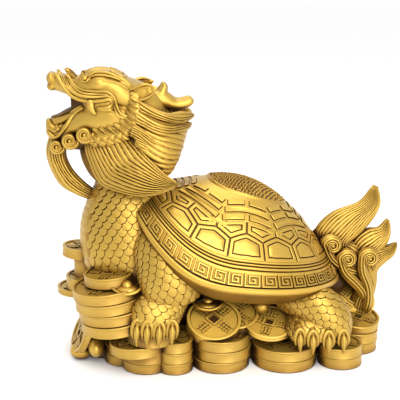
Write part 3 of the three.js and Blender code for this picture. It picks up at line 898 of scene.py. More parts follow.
SKULL = (
    (-128, 209.5, 202.5, 4.5), (-126, 212.3, 200.3, 8), (-120, 211, 198.2, 10.5), (-113, 208.4, 195.8, 13),
    (-106, 207.6, 194, 16), (-100.5, 210.6, 192, 18.5), (-94, 213.2, 189, 20.8), (-86, 213.4, 187, 23),
    (-78, 211, 184, 24.2), (-70, 207.8, 180, 23), (-60, 204, 176, 20), (-50, 198, 174, 16),
    (-44, 191, 178, 8),
)
JAW = (
    (-131, 178.4, 168, 4.4), (-128.5, 179.6, 164.6, 7.5), (-124, 176.4, 162.6, 10), (-119, 177, 164.5, 12.6),
    (-112.5, 182, 166.5, 16), (-106, 187.5, 167.5, 19), (-100, 190.5, 168, 21.5), (-92, 192, 168, 24),
    (-82, 193, 169, 26), (-72, 192, 170, 25.5), (-62, 188, 172, 22),
)
MOUTH_BACK = ((-112.6, 201, 175, 8), (-108, 203, 172, 11), (-103, 204, 171, 14.5), (-99, 204, 171, 20.5),
              (-92, 204, 171, 23), (-84, 203, 171, 24.5))
# Mouldings of the head, each with its radius, its lift, its number of rings and its (x, z) path.
MOULDINGS = {
    "lower edge of the upper lip": (1.45, 0.5, 66, (
        (-122.6, 213.6), (-119.3, 207.1), (-116.3, 202.3), (-112.6, 198.2), (-108.5, 195.6), (-103.6, 194.1),
        (-97.3, 193.6), (-90.3, 194.1), (-85.4, 195.1), (-83.9, 193.6), (-83.8, 191.3), (-85.6, 189.7),
        (-89.1, 189.1), (-94.6, 189.3))),
    "upper edge of the upper lip": (1.15, 0.4, 66, (
        (-121.1, 213.1), (-117.7, 205.4), (-114.2, 202.3), (-110.5, 199.8), (-104.2, 197.3), (-94.5, 196.5),
        (-86.1, 197.1), (-83.2, 195.2), (-82.4, 191.8), (-83.4, 188.8), (-85.6, 187.7), (-90.5, 187.7),
        (-94.6, 188.2))),
    "upper line of the moustache": (1.15, 0.5, 66, (
        (-115.5, 211.5), (-112.6, 208.3), (-110.2, 204.9), (-106.8, 202.2), (-102, 200.7), (-94.3, 200.4),
        (-88.1, 200.5), (-84, 198.7), (-81.2, 195), (-80.4, 191), (-78.7, 186.6), (-75.7, 184),
        (-71.6, 183.6))),
    "lower line of the moustache": (0.95, 0.3, 66, (
        (-114.5, 209), (-112.3, 205.9), (-108.9, 202.1), (-103.4, 199.1), (-94.4, 198.4), (-88.5, 198.5),
        (-84.8, 196.8), (-82.6, 193.6), (-82, 189.6), (-80.2, 185.2), (-76.4, 182.4), (-72, 182))),
    "lower lip": (1.6, 0.4, 44, (
        (-130, 171.5), (-127.3, 168.8), (-123.8, 166.8), (-120.8, 169.4), (-117, 174), (-113.2, 179.6),
        (-109.5, 184), (-105.9, 187), (-103, 188.7))),
    "inner edge of the lower lip": (1.1, 0.2, 44, (
        (-128.7, 173.4), (-125, 171.2), (-122.1, 172.6), (-118.4, 177), (-114.6, 182), (-110.9, 185.4),
        (-106.5, 188.4), (-103.7, 189.7))),
    "edge of the jaw": (0.7, 0.0, 44, (
        (-94.6, 186.6), (-89.1, 186.4), (-84, 186.8), (-80.9, 184.2), (-76.8, 180.8), (-72, 179.6))),
    "eyelid": (0.6, 0.1, 44, (
        (-105.4, 209.2), (-104, 207.2), (-101, 206.8), (-98.6, 208.4), (-99.4, 210.8), (-102.4, 211.8),
        (-105.2, 210.6))),
    "upper line of the brow": (0.95, 0.2, 44, (
        (-103.6, 207.6), (-102, 210), (-98.2, 211.6), (-95.4, 213.2), (-91.2, 213.6), (-86.4, 213),
        (-81.6, 211.3), (-78.2, 209.4))),
    "lower line of the brow": (0.95, 0.2, 44, (
        (-101.6, 205.6), (-99.4, 208.6), (-96.8, 210.8), (-91.2, 211.4), (-85.7, 210.8), (-80.9, 209.4),
        (-76.5, 207.4))),
    "ridge behind the brow": (0.7, 0.0, 44, ((-84.2, 214), (-80.1, 212.2), (-75.9, 210.2), (-71.8, 208.4))),
    "ridge behind the eye": (0.7, 0.0, 44, ((-90, 207.4), (-84, 207.2), (-78, 205.2), (-72, 201.6))),
}
FANG = ((-98.4, 195), (-98.4, 191.6), (-97.8, 188.6), (-96.4, 186.2), (-95, 184.6))
# The two leaves over the eye, each with its edges, its thickness and its dish.
EYE_LEAVES = (
    (((-109, -8.6, 205), (-112, -7.6, 208), (-114.4, -6.6, 211), (-116.4, -5.6, 214.6)),
     ((-105.4, -8.8, 205.4), (-107.8, -8, 208.8), (-110.4, -6.8, 212), (-113.4, -5.6, 214.6)), 1.8, 0.9),
    (((-105.4, -10.6, 204.6), (-106.2, -10, 207.6), (-105.6, -9, 210), (-104, -8.4, 212.6)),
     ((-101.6, -11, 205), (-102, -10.6, 207), (-102, -9.8, 209.4), (-102.8, -8.6, 212.4)), 1.6, 0.8),
)
NOSE_WRINKLES = 7
TOOTH = ((-121.6, 171.6), (-122.6, 175), (-124.6, 179.6))
EAR = (
    ((-75, -17.5, 197), (-72.6, -20, 201), (-68, -22, 204), (-60.5, -23.6, 206.2), (-52, -24, 203.4)),
    ((-74, -19.5, 196), (-69.5, -22, 194), (-64, -23.4, 193), (-57.6, -24.2, 195.4), (-51.8, -24.4, 202.4)),
)
JAW_CURLS = (((-123.2, 160.6), 4.4, 10), ((-113.7, 165.6), 5.4, 14.5), ((-103.2, 170.4), 5.5, 19))
HAIR_BASE = ((-101, -15, 167), (-92, -19.5, 167.4), (-80, -21.5, 169), (-70.5, -23, 174), (-67.5, -22, 184),
             (-69, -19, 195))


def mouth_shade(spots):
    """Painted shade: the mouth's back wall and roof and the nostrils are painted dark. The numbers are their
    places.
    """
    x, y, z = spots.T
    wall = (1 - smooth(-102, -99.4, x)) * smooth(-118, -113, x) * (1 - smooth(12.5, 15, np.abs(y)))
    wall = wall * smooth(176, 181, z) * (1 - smooth(200, 203, z))
    roof = smooth(-121, -116, x) * (1 - smooth(-104, -102, x)) * (1 - smooth(11, 14, np.abs(y)))
    roof = roof * smooth(188, 190, z) * smooth(0.5, 1.5, 197.5 - 0.35 * (x + 120) - z)
    nose = np.exp(-(((x + 127) / 3.6) ** 2 + ((z - 205.5) / 5.5) ** 2 + ((np.abs(y) - 4.5) / 4.5) ** 2))
    return np.maximum(0.95 * np.maximum(wall, roof), 0.85 * nose)


def head_forms():
    forms = [
        block(SKULL), block(JAW, square=2.6), block(MOUTH_BACK, square=3),
        limb([(-122, 164), (-110, 166), (-96, 167), (-80, 170)], [8, 13, 17, 19], [4, 6, 8, 9]),
    ]
    for _, hand in FLANKS:
        forms += [
            limb([(-103.5, -11.5, 208.2), (-99, -13, 211.4), (-92, -14, 212.4), (-84, -15, 211.4),
                  (-76, -16, 208.4), (-68, -18, 203)],
                 [2.4, 3.4, 3.8, 3.8, 3.4, 2], [1.6, 2, 2.2, 2.2, 2, 1], hand=hand),
            ball((-101.8, -13, 209), (4, 3.4, 3), hand),
            ball((-91, -15.5, 205), (9.5, 6.6, 6), hand),
            ball((-126, -5.4, 208.4), (3.2, 4.4, 4.2), hand),
            ball((-125.6, -5.2, 202.6), (3.4, 4, 3), hand),
            limb([(-122, -9, 212), (-118.4, -10.4, 206.6), (-112, -14, 200.6), (-104, -17.6, 197),
                  (-94, -20, 196.4)],
                 [2, 2.6, 3, 3, 2.4], [2, 2.8, 3.4, 3.4, 3], hand=hand),
            limb([(-100, -15, 209.4), (-106, -10, 206.2), (-112, -7.5, 206.2), (-119, -6.4, 209.4)],
                 [3.4, 4, 3.6, 3], [3, 3, 2.6, 2], hand=hand),
            limb(HAIR_BASE, [4, 5, 6, 6.4, 6.4, 4], [3.4, 4.6, 5.6, 6, 5.6, 3.6], hand=hand),
        ]
    return forms


LAID_SPOTS = 26


def laid(surface, path, lift=0.0, samples=LAID_SPOTS):
    """A path of (x, z) places laid on the near side of a surface, or lifted above it."""
    spots = curve(path, np.linspace(0, 1, samples))
    depth = np.full(samples, np.nan)
    for index, (x, z) in enumerate(spots):
        met, place, _, _ = surface.ray_cast(Vector((x, -90, z)) * SHARE * METRES, Vector((0, 1, 0)))
        if met:
            depth[index] = place.y / (SHARE * METRES)
    known = np.flatnonzero(~np.isnan(depth))
    depth = np.interp(np.arange(samples), known, depth[known])
    padded = np.pad(depth, 1, mode="edge")
    even = (padded[:-2] + 2 * padded[1:-1] + padded[2:]) / 4
    return np.stack([spots[:, 0], even - lift, spots[:, 1]], -1)


def moulding(surface, path, radius, hand, lift, around=10, along=44):
    """A half-round moulding on a surface, thinner at its ends."""
    spots = laid(surface, path, lift)
    to_end = np.minimum(np.arange(LAID_SPOTS), np.arange(LAID_SPOTS)[::-1])
    wide = radius * np.clip(to_end / 3 + 0.45, 0, 1)
    return ribbon(spots, list(wide), hand, around=around, along=along, patina_and_painted_light=-0.05, blunt=0.03)


def head_details(surface, hand):
    parts = [moulding(surface, path, radius, hand, lift, along=along)
             for radius, lift, along, path in MOULDINGS.values()]
    eye = laid(surface, [(-101.9, 209.2), (-101.8, 209.2)])[0]
    parts.append(skin(ball(eye, (2.1, 1.6, 1.8), hand, 20, 14)))
    fang = laid(surface, FANG, 1.0) - (0, 0.6, 0)
    fang_wide = list(np.interp(np.arange(LAID_SPOTS), [0, 9, LAID_SPOTS - 1], [1.3, 1.4, 0.3]))
    parts.append(ribbon(fang, fang_wide, hand, around=16, along=36, flat=1.9, patina_and_painted_light=-0.15))
    tooth_wide = list(np.linspace(2.3, 0.5, LAID_SPOTS))
    parts.append(ribbon(laid(surface, TOOTH, 0.8), tooth_wide, hand, around=14, along=24, patina_and_painted_light=-0.15))
    for step in range(NOSE_WRINKLES):
        x = -119.6 + 1.5 * step
        path = [(x + 2, 206 - 0.6 * step), (x + 0.6, 208.6 - 0.5 * step), (x - 1, 211.4 - 0.45 * step)]
        parts.append(moulding(surface, path, 0.55, hand, 0.1, 8, 14))
    for upper, lower, thick, dish in EYE_LEAVES:
        parts.append(leaf(upper, lower, thick, dish, hand))
    return parts


def leaf(upper, lower, thick, dish, hand=1, around=60, along=28):
    """A leaf between two edges, dished inside its raised edges."""
    form = lock(upper, lower, [thick, thick, thick * 0.8, thick * 0.3], hand, around, along)
    across = np.abs(np.cos(lock_angles(around)))
    share = np.linspace(0, 1, along)[:, None]
    inner = (1 - smooth(0.62, 0.8, across)) * smooth(0.05, 0.2, share) * (1 - smooth(0.8, 0.95, share))
    # The dish inside the raised edges is painted darker, patina together with painted shade.
    return skin(form, -dish * inner, 0.4 * inner)


def ear(hand):
    return leaf(*EAR, 2.6, 1.9, hand, around=72, along=36)


def horn_forms(hand):
    return [
        limb([(-68, -10, 198), (-58, -8, 194.6), (-51, -7, 193), (-45, -6.6, 191.6), (-39, -6.4, 189),
              (-33.5, -6.4, 188.6), (-28.6, -6.6, 190.4), (-24.8, -6.8, 192.4)],
             [5.7, 6, 6, 5.8, 4.9, 4.3, 3.6, 2.4], [5.1, 5.3, 6, 5.8, 4.3, 3.9, 3.3, 2.1], hand=hand,
             blunt=0.06),
        limb([(-49, -7, 192.5), (-47.2, -6.8, 197.5), (-46, -6.6, 200.6), (-45.2, -6.6, 204)],
             [5, 4.2, 3.4, 2.2], [4.8, 4, 2.8, 1.8], hand=hand, blunt=0.06),
    ]


class TURTLE_OT_head(Operator):
    """Make the head with its mouldings, teeth, nose, ears, horns and the hair along its jaw"""
    bl_idname = "turtle.head"
    bl_label = "Head"

    def execute(self, context):
        head = fused("head", head_forms(), 0.8, 4, "mellow", mouth_shade)
        fused("horns", both_hands(horn_forms), 0.7, 5, "mellow")
        make_piece("head_carving", both_hands(lambda hand: head_details(head, hand)), "mellow", sharp=60)
        make_piece("ears", [ear(hand) for _, hand in FLANKS], "mellow", sharp=60)
        make_piece("tongue", tongue(), "mellow", sharp=60)
        make_piece("jaw_hair", both_hands(lambda hand: jaw_hair(head, hand)), "mellow", sharp=70)
        return {"FINISHED"}


def tongue():
    """A thin tongue over the sloping floor of the mouth: the tongue is painted dark and the floor a little
    dark, as the shade inside the mouth.
    """
    plate = limb([(-127.5, 180), (-122, 181.2), (-116, 184), (-108, 187), (-100, 189.6)],
                 [3, 6.2, 8.2, 10, 10], [0.9, 1.3, 1.7, 2, 2])
    bed = limb([(-127, 175.5), (-120, 178), (-112, 182), (-104, 185.5)],
               [6, 9.6, 12, 14], [4.6, 4.4, 3.8, 3.6])
    return [skin(plate, 0, 0.9), skin(bed, 0, 0.2)]


# Jaw hair: tufts in two rows and three curls

TUFT_TIPS = ((-61.2, 196), (-60.8, 190.6), (-61, 184.6), (-62.6, 178.8), (-64.6, 173), (-70.6, 167.8),
             (-78, 165.2), (-86, 164.2), (-94, 163.6))
TUFT_ROOTS = ((-69.6, 199.6), (-69.8, 195.2), (-71, 190), (-73.6, 184.8), (-76.4, 180.4), (-83, 176.4),
              (-91, 174.2), (-98, 173.2), (-103, 170.6))
# Each row has its number of tufts, where they begin and end between root and tip, their width and their lift.
TUFT_ROWS = ((12, 0.0, 1.02, 2.9, 0.2), (13, -0.15, 0.68, 2.7, 0.7))
TUFT_BOW = 1.4
TUFT_STAND = 1.4
TUFT_SPOTS = 14
TUFT_STRANDS = 5


def tuft(surface, root, tip, width, thick, lift, hand, seed):
    """A slim leaf of short hair on a surface, from a root to a pointed tip."""
    bend = (root + tip) / 2 - (0.02 * TUFT_BOW, TUFT_BOW)
    end = tip - (tip - root) * 0.14 - (0, 0.5 * TUFT_BOW)
    spots = laid(surface, [root, bend, end, tip], lift, TUFT_SPOTS)
    share = np.linspace(0, 1, TUFT_SPOTS)
    spots[:, 1] -= TUFT_STAND * share ** 1.5
    full = np.interp(share, [0, 0.3, 0.65, 0.85, 1], [0.3, 0.85, 1, 0.6, 0.1])
    form = limb(spots, list(thick * full), list(width * full), (0, 1, 0), hand, 30, TUFT_SPOTS, blunt=0.04)
    return skin(form, *strands(form, TUFT_STRANDS, 0.7, seed, wander=0.06))


def curl(centre, radius, lead, out, hand, strands_round=10, width=None, turns=1.4, start=175):
    """A curl of parallel strands in the upright plane, with a bead in its middle."""
    x, z = centre
    width = width or radius * 0.42
    turn = spiral_path((x, -out, z), radius - width, turns, start, depth=radius * 0.2, ends=0.3)
    depths = np.linspace(out - 3.4, out, len(lead) + 1)[:-1]
    begin = [(a, -depth, b) for (a, b), depth in zip(lead, depths)]
    path = np.vstack([begin, turn]) if begin else turn
    count = len(path)
    spot = np.arange(count)
    span = width * np.interp(spot, [0, len(lead), count - 6, count - 1], [1, 1, 0.62, 0.4])
    bulk = radius * np.interp(spot, [0, len(lead), count - 1], [0.42, 0.4, 0.34])
    bead = ball((x, -out - 0.3, z), (radius * 0.26, radius * 0.5, radius * 0.26), hand, 20, 14)
    return [band(path, span, bulk, strands_round, hand, 0.75), skin(bead)]


def jaw_hair(surface, hand):
    parts = []
    tips, roots = np.array(TUFT_TIPS), np.array(TUFT_ROOTS)
    for row, (count, begin, end, width, lift) in enumerate(TUFT_ROWS):
        shares = np.linspace(0.0, 1.0, count) * 0.98 + 0.01
        for index, (root, tip) in enumerate(zip(curve(roots, shares), curve(tips, shares))):
            way = tip - root
            parts.append(tuft(surface, root + way * begin, root + way * end, width, width * 0.6, lift, hand,
                              20 * row + index))
    for (x, z), radius, out in JAW_CURLS:
        # Painted shade: the ball behind each curl is painted darker.
        parts.append(skin(ball((x, 4 - out, z), (radius, 4.6, radius), hand), 0, 0.35))
        parts += curl((x, z), radius + 2.3, (), out + 2, hand, 4, radius * 0.5, 1.5, 20)
    return parts


# Mane and beard

FAN = (
    ((-68, -18, 195), (-60.7, -20, 190), (-47.7, -22, 184.4), (-34.4, -16, 184.8), (-25.8, -10, 183)),
    ((-68, -26, 185.5), (-61.1, -26, 181.8), (-49.8, -26, 177.2), (-37.2, -18, 175.6), (-25.2, -10, 180)),
    ((-68, -25, 189), (-61.1, -25, 185.2), (-49.7, -26, 180.1), (-39, -19, 178.4), (-27, -12, 176.6)),
    ((-69, -29, 177), (-62.7, -29, 173.1), (-51.8, -29, 167.8), (-41.1, -22, 167.3), (-29, -13, 172)),
    ((-69, -29, 180), (-62.6, -29, 175.6), (-52.6, -29, 169.5), (-43.7, -23, 167.5), (-33.8, -15, 164)),
    ((-72, -30, 171), (-66.2, -31, 166.6), (-57, -30, 159.9), (-45.6, -25, 157), (-34.4, -16, 161.4)),
    ((-72, -30, 174), (-66.2, -31, 169.2), (-57, -30, 162), (-46.5, -25, 158.3), (-37.2, -16, 157.4)),
    ((-67, -32, 164), (-60.5, -32, 156.4), (-53.6, -28, 147.7), (-48.3, -22, 142.5), (-38.6, -16, 153.9)),
)
FAN_BACKING = (((-67, -14, 190), (-52, -15, 181), (-40, -11, 178.5), (-29, -6, 177)),
               ((-70, -26, 152), (-58, -29, 142), (-50, -29, 139), (-42.5, -18, 144)))
LOWER_LOCK = (
    ((-74, -25, 170), (-68.5, -31, 164.5), (-63.6, -35, 159.4), (-58.3, -38, 154.2), (-48.2, -41, 144.4),
     (-39.6, -43, 138.6)),
    ((-104, -12, 165), (-102, -13, 153), (-96.6, -19, 140.4), (-91.5, -23.5, 134.2), (-80, -32, 131),
     (-67, -39, 129.6), (-54, -43, 131.4), (-39.6, -43, 137)),
)
BEARD = (
    ((-127, 171.5), (-131.2, 157), (-129.2, 144), (-122.2, 130.5), (-110.8, 123), (-96.5, 117)),
    ((-113, 168), (-117.6, 155.5), (-115, 145), (-108.2, 135.4), (-100.4, 128), (-90, 120.8)),
)


def mane_parts(hand):
    height = bpy.context.scene.turtle_carving.strand_height
    # Painted shade: the ball that fills the gap between the locks is painted a little dark.
    parts = [hair_lock(*FAN_BACKING, (13, 15, 13, 4), 30, height, hand, 5),
             skin(ball((-69, -22, 163), (9, 8, 9), hand), 0, 0.35)]
    for index in range(0, len(FAN), 2):
        parts.append(hair_lock(FAN[index], FAN[index + 1], (5, 6, 7, 6, 1.5), 13, height, hand, index))
    parts.append(hair_lock(*LOWER_LOCK, (4.5, 5.5, 6, 5.5, 4, 1.5), 30, height * 1.2, hand, 9))
    return parts


class TURTLE_OT_mane(Operator):
    """Make the swept mane, its core, the throat and the beard"""
    bl_idname = "turtle.mane"
    bl_label = "Mane and beard"

    def execute(self, context):
        height = context.scene.turtle_carving.strand_height
        core = limb([(-57, 184), (-49, 177), (-50, 163), (-57, 147), (-66, 138)],
                    [13, 18, 24, 26, 22], [7, 11, 12, 12, 12], around=180, along=32)
        throat = limb([(-103.5, 166), (-101, 152), (-96.5, 142), (-90.5, 134)], [9, 12, 15, 15], [5, 6, 6, 5])
        chin = limb([(-122, 162), (-112, 162), (-101, 161.5)], [7, 9, 10], [4, 5.5, 6])
        for flank, hand in FLANKS:
            make_piece(f"mane_{flank}", mane_parts(hand), "mellow", sharp=80)
        # Painted shade: the throat and the chin under the beard are painted dark.
        inside = [skin(core, *strands(core, 30, height)), skin(throat, 0, 0.8), skin(chin, 0, 0.9)]
        make_piece("mane_core", inside, "mellow", sharp=80)
        beard = hair_lock(*BEARD, [8, 9, 8.5, 7.5, 6, 3.4], 16, height * 1.1, along=60)
        make_piece("beard", [beard], "mellow", sharp=80)
        return {"FINISHED"}


# Legs

FRONT_LEG = {
    "limb": ((-61, -25, 99), (-56, -35, 89), (-50, -41, 79), (-45, -43, 65.5), (-42.5, -40, 52.5)),
    "wide": (8, 11, 14, 15, 13), "deep": (11, 15.5, 20, 21.5, 19),
    "paw": ((-45.5, -36, 56), (-53, -45.5, 52), (-57.5, -52, 43), (-58, -54, 36)),
    "paw_wide": (17, 18, 17, 13), "paw_deep": (9, 9, 8, 5),
    "toes": ((-69.7, -53.5, 41.8), (-62.7, -55.5, 41.3), (-54.3, -56, 40.8), (-45.1, -55, 41)),
    "drop": (-0.05, -0.25, -0.92),
}
HIND_LEG = {
    "limb": ((36, -30, 54), (50, -39, 48.5), (63, -43, 43), (71.5, -43, 33), (71, -42, 21)),
    "wide": (9, 12, 14.5, 15, 13), "deep": (10, 13, 16, 16, 15),
    "paw": ((63, -38, 36), (58.5, -47.5, 32.5), (57.5, -53, 26.5), (57.5, -54, 21.5)),
    "paw_wide": (17, 19, 18, 13), "paw_deep": (8, 8, 7, 5),
    "toes": ((46.4, -54.5, 30.4), (55.5, -56, 29.3), (67, -56, 28.4), (78.5, -53.5, 28)),
    "drop": (0, -0.25, -0.82),
}
CLAW_LENGTH = 17
# Half of the arch over a claw: each spot is its way down the claw, its share of the half width, and y and z.
ARCH = ((12, 0.75, -1, 0), (7, 1, -2.6, 0), (2, 0.95, -3.4, 0), (0, 0.55, -3.2, 1.6), (0, 0, -3, 2.7))
ARCH_HALF_WIDTH = 3.5
ARCH_RADII = [0.6, 1.2, 1.5, 1.6, 1.6, 1.6, 1.5, 1.2, 0.6]


def leg(name, sizes, hand):
    upper = limb(sizes["limb"], sizes["wide"], sizes["deep"], hand=hand, around=36, along=32, blunt=0.02)
    paw = limb(sizes["paw"], sizes["paw_wide"], sizes["paw_deep"], (1, 0, 0), hand, around=32, along=22)
    carving = bpy.context.scene.turtle_carving
    # The skin between the scales is painted dark, patina together with painted shade.
    parts = [skin(upper, -0.3, 0.75), skin(paw, -0.3, 0.7)]
    out, width = outer_turn(upper, hand), carving.scale_width * 0.86
    parts.append(scales(upper, out, 4, upper.way[-1] - 3, 0.47, width, carving.scale_height, below_rim))
    parts.append(scales(paw, outer_turn(paw, hand, lift=1), 3, paw.way[-1] - 2, 0.3, 5.6, 0.8))
    for root in sizes["toes"]:
        parts += toe(np.array(root), np.array(sizes["drop"]), hand)
    make_piece(name, parts, "cast", sharp=35)


def below_rim(spots):
    """Whether each place is clear of the shell's rim."""
    u = np.clip((spots[:, 0] - SHELL_MIDDLE) / HEAD_END_REACH, -1, 1)
    return spots[:, 2] < rim_height(u) - 1


def outer_turn(form, hand, lift=0.0):
    """The turn of a form at which it looks away from the middle of the body, or up with lift."""
    middle = len(form.points) // 2
    offset = form.points[middle] - form.points[middle].mean(0)
    return form.turn[np.argmax(-offset[:, 1] * hand + lift * offset[:, 2])]


def toe(root, drop, hand):
    """An arched hood with an almond-shaped, ridged claw under it."""
    tip = root + drop * CLAW_LENGTH
    hood = limb([root + (0, 5, 4), root + (0, 0.5, 2.5), root + (0, -1.6, -2), root + drop * 8 + (0, 1, 0)],
                [3.2, 4, 3.9, 3.2], [3, 3.4, 3, 2], (1, 0, 0), hand, around=20, along=14)
    claw = limb([root + (0, -1.6, 0.5), root + drop * 4 - (0, 3.6, 0), root + drop * 9 - (0, 3.2, 0),
                 tip - (0, 1.4, 0)],
                [0.7, 2.5, 2.3, 0.4], [0.7, 2.2, 2.0, 0.4], (1, 0, 0), hand, around=18, along=18, blunt=0.02)
    ridge = claw.points - claw.points.mean(1, keepdims=True)
    lift = np.exp(-(ridge[..., 0] / 0.55) ** 2) * (ridge[..., 1] * hand < 0) * 0.5
    spots = [(down, -share, y, z) for down, share, y, z in ARCH] + list(ARCH[-2::-1])
    arch = [root + drop * down + (share * ARCH_HALF_WIDTH, y, z) for down, share, y, z in spots]
    return [skin(hood, 0, 0.5), skin(claw, lift, -0.05), ribbon(arch, ARCH_RADII, hand)]


class TURTLE_OT_legs(Operator):
    """Make the four legs with their scales and claws"""
    bl_idname = "turtle.legs"
    bl_label = "Legs"

    def execute(self, context):
        for end, sizes in (("front", FRONT_LEG), ("hind", HIND_LEG)):
            for flank, hand in FLANKS:
                leg(f"{end}_leg_{flank}", sizes, hand)
        return {"FINISHED"}


# Tail

FLAMES = (
    {"upper": ((97.5, 50.5), (84, 68), (70, 85), (72.5, 95), (84, 104.6), (103, 111.6), (113.5, 124.8)),
     "lower": ((107.5, 52.5), (97, 66), (96, 78), (105, 87), (113.5, 97), (119.3, 109), (117.5, 123)),
     "thick": (9, 10, 9, 8, 7, 5, 1.5), "count": 30},
    {"upper": ((101.5, 52.5), (96, 68), (100, 82), (110, 90), (119, 91), (125.6, 98)),
     "lower": ((111.5, 52.5), (110, 58), (114, 65), (122, 71), (128.3, 83), (127.9, 96)),
     "thick": (9, 9, 8, 7, 5, 1.5), "count": 24},
    {"upper": ((104.5, 38.5), (102, 54), (107, 68), (117, 75), (127, 76), (134, 79)),
     "lower": ((116, 38.5), (119, 48), (120, 56.5), (125.5, 62.5), (132, 68), (135.2, 76)),
     "thick": (9, 9, 8, 7, 5, 1.5), "count": 22},
)
TAIL_CURLS = (
    {"centre": (79.5, 81.6), "radius": 9.5, "lead": ((102, 58), (92, 62), (80, 70))},
    {"centre": (91.6, 70.1), "radius": 9.5, "lead": ((108, 36), (105, 44), (98, 52), (90, 60))},
    {"centre": (108.8, 70.4), "radius": 9.5, "lead": ((108, 22), (110.6, 36), (109, 48), (104, 60))},
)


class TURTLE_OT_tail(Operator):
    """Make the tail: a stem, three flames of hair and three curls on each side"""
    bl_idname = "turtle.tail"
    bl_label = "Tail"

    def execute(self, context):
        height = context.scene.turtle_carving.strand_height
        flames = [hair_lock(**one, height=height, seed=index, along=40) for index, one in enumerate(FLAMES)]
        make_piece("tail_flames", flames, "mellow", sharp=80)
        stem = limb([(105, 18.5), (107, 32.5), (110.5, 41.5), (107, 53), (98, 65), (88, 78)],
                    [10, 9, 10, 11, 11, 9], [8, 6.8, 7.8, 12.5, 14, 11], around=130, along=40)
        # Painted shade: the ball that fills the gap behind the stem is painted fully dark.
        parts = [skin(stem, *strands(stem, 24, height)), skin(ball((84, 0, 49), (12, 9, 12)), 0, 1.0)]
        for one in TAIL_CURLS:
            for _, hand in FLANKS:
                parts += curl(**one, out=12.5, hand=hand)
        make_piece("tail_curls", parts, "mellow", sharp=80)
        return {"FINISHED"}


# Heap of coins

COIN_THICKNESS = 8
COIN_SIDES = 40
# Coins that lean more than this many degrees stand below the shell, out of the light, and get a finish whose
# colour is painted lighter and less metallic to stand in for the light they miss.
BRIGHTENED_IN_SHADE_LEAN = 15
LEANING = (
    {"top": (-88.5, -28.5, 71.5), "radius": 18.5, "lean": (0, -3)},
    {"top": (-90.5, -31, 63.5), "radius": 25, "count": 4, "lean": (2, -5), "shift": (1.3, -0.9)},
    {"top": (-59, -40, 30.5), "radius": 18},
    {"top": (-69, -38, 23), "radius": 21, "lean": (0, -2)},
    {"top": (-107.5, 11.5, 80.5), "radius": 16, "lean": (0, 4)},
    {"top": (-104.5, 10.5, 73), "radius": 11, "thick": 16},
    {"top": (-103, 7.5, 58.5), "radius": 18.5, "thick": 10},
    {"top": (-110.5, 11.5, 49), "radius": 18, "thick": 5},
    {"top": (-13, -36, 35.6), "radius": 20, "lean": (28, 0), "thick": 10},
    {"top": (4, -26.5, 37), "radius": 18, "lean": (24, 0), "thick": 10},
    {"top": (28, -37, 32), "radius": 18.5, "lean": (18, 0), "thick": 4.5},
    {"top": (101.5, -2, 34), "radius": 17, "lean": (40, 0)},
    {"top": (101, -17, 25.5), "radius": 16.5, "lean": (13, 0), "thick": 7},
    {"top": (-112, -17, 21), "radius": 15, "lean": (12, -66), "thick": 6},
)
# Each stack has its foot's x and y, its radius, its number of coins and their thickness.
STANDING = (
    (-42.3, -41.5, 13.4, 3, 8), (-7.5, -34.5, 21.6, 3, 8), (39.5, -35.5, 24.2, 2, 8), (80, -42.5, 16.6, 2, 8),
    (100, -17, 16.5, 2, 8), (-78, -20, 16, 2, 7.5), (-62, -34, 18.5, 2, 7.5), (-84, 31, 21, 5, 8),
    (-55, 42, 18, 4, 7.5), (-18, 39, 20, 3, 8), (24, 40, 20, 2, 9), (66, 40, 19, 2, 8), (99, 22, 16, 3, 7.3),
    (-91, 2, 21, 7, 8), (-58, 4, 24, 3, 8), (-22, 6, 24, 3, 7.4), (12, -8, 24, 3, 7.2), (18, 14, 22, 3, 6.8),
    (50, 6, 25, 3, 7.4), (80, -4, 24, 3, 7.6),
)


def coin_rows(radius, thick):
    """Inset, height and darkening of a coin's rings, from its underside over two beads to its face's middle.
    The underside is painted dark as shade, the groove inside the rim dark as patina and painted shade, and
    the top edges and the face lighter as painted highlight and painted light.
    """
    rim = bpy.context.scene.turtle_carving.coin_rim
    return [(1.6, -thick, 1.0), (0.7, 0.05 - thick, 0.9), (0.2, 0.4 - thick, 0.3), (0.1, 0.9 - thick, 0.2),
            (0.35, 1.3 - thick, 0.3), (0.35, -1.3, 0.25), (0, -0.9, 0.0), (0, -0.4, -0.2), (0.4, 0, -0.25),
            (rim, 0, -0.3), (rim + 0.3, -0.2, 0.1), (rim + 0.6, -1.0, 0.6), (rim + 1.4, -1.1, -0.2),
            (radius * 0.7, -1.1, -0.45), (radius * 0.97, -1.1, -0.45)]


def bars_on_face(centres, turns, half_long, half_wide, low, high):
    """Rings of a flat-topped bar at each centre of a coin's face."""
    corners = np.array([(-1, -1), (1, -1), (1, 1), (-1, 1)], float)
    c, s = np.cos(turns)[:, None], np.sin(turns)[:, None]
    rings = []
    for grow, height in ((1.0, low), (0.78, high)):
        across = corners[:, 0] * half_long[:, None] * grow
        beside = corners[:, 1] * half_wide * grow
        x = across * c - beside * s + centres[:, :1]
        y = across * s + beside * c + centres[:, 1:]
        rings.append(np.stack([x, y, np.full(x.shape, height)], -1))
    return np.stack(rings, 1)


# The foot of each stroke is painted dark, patina together with painted shade, and its top lighter as a
# painted highlight; the hole is painted fully dark as its shade.
STROKE_SHADES = np.array([0.8, -0.4])


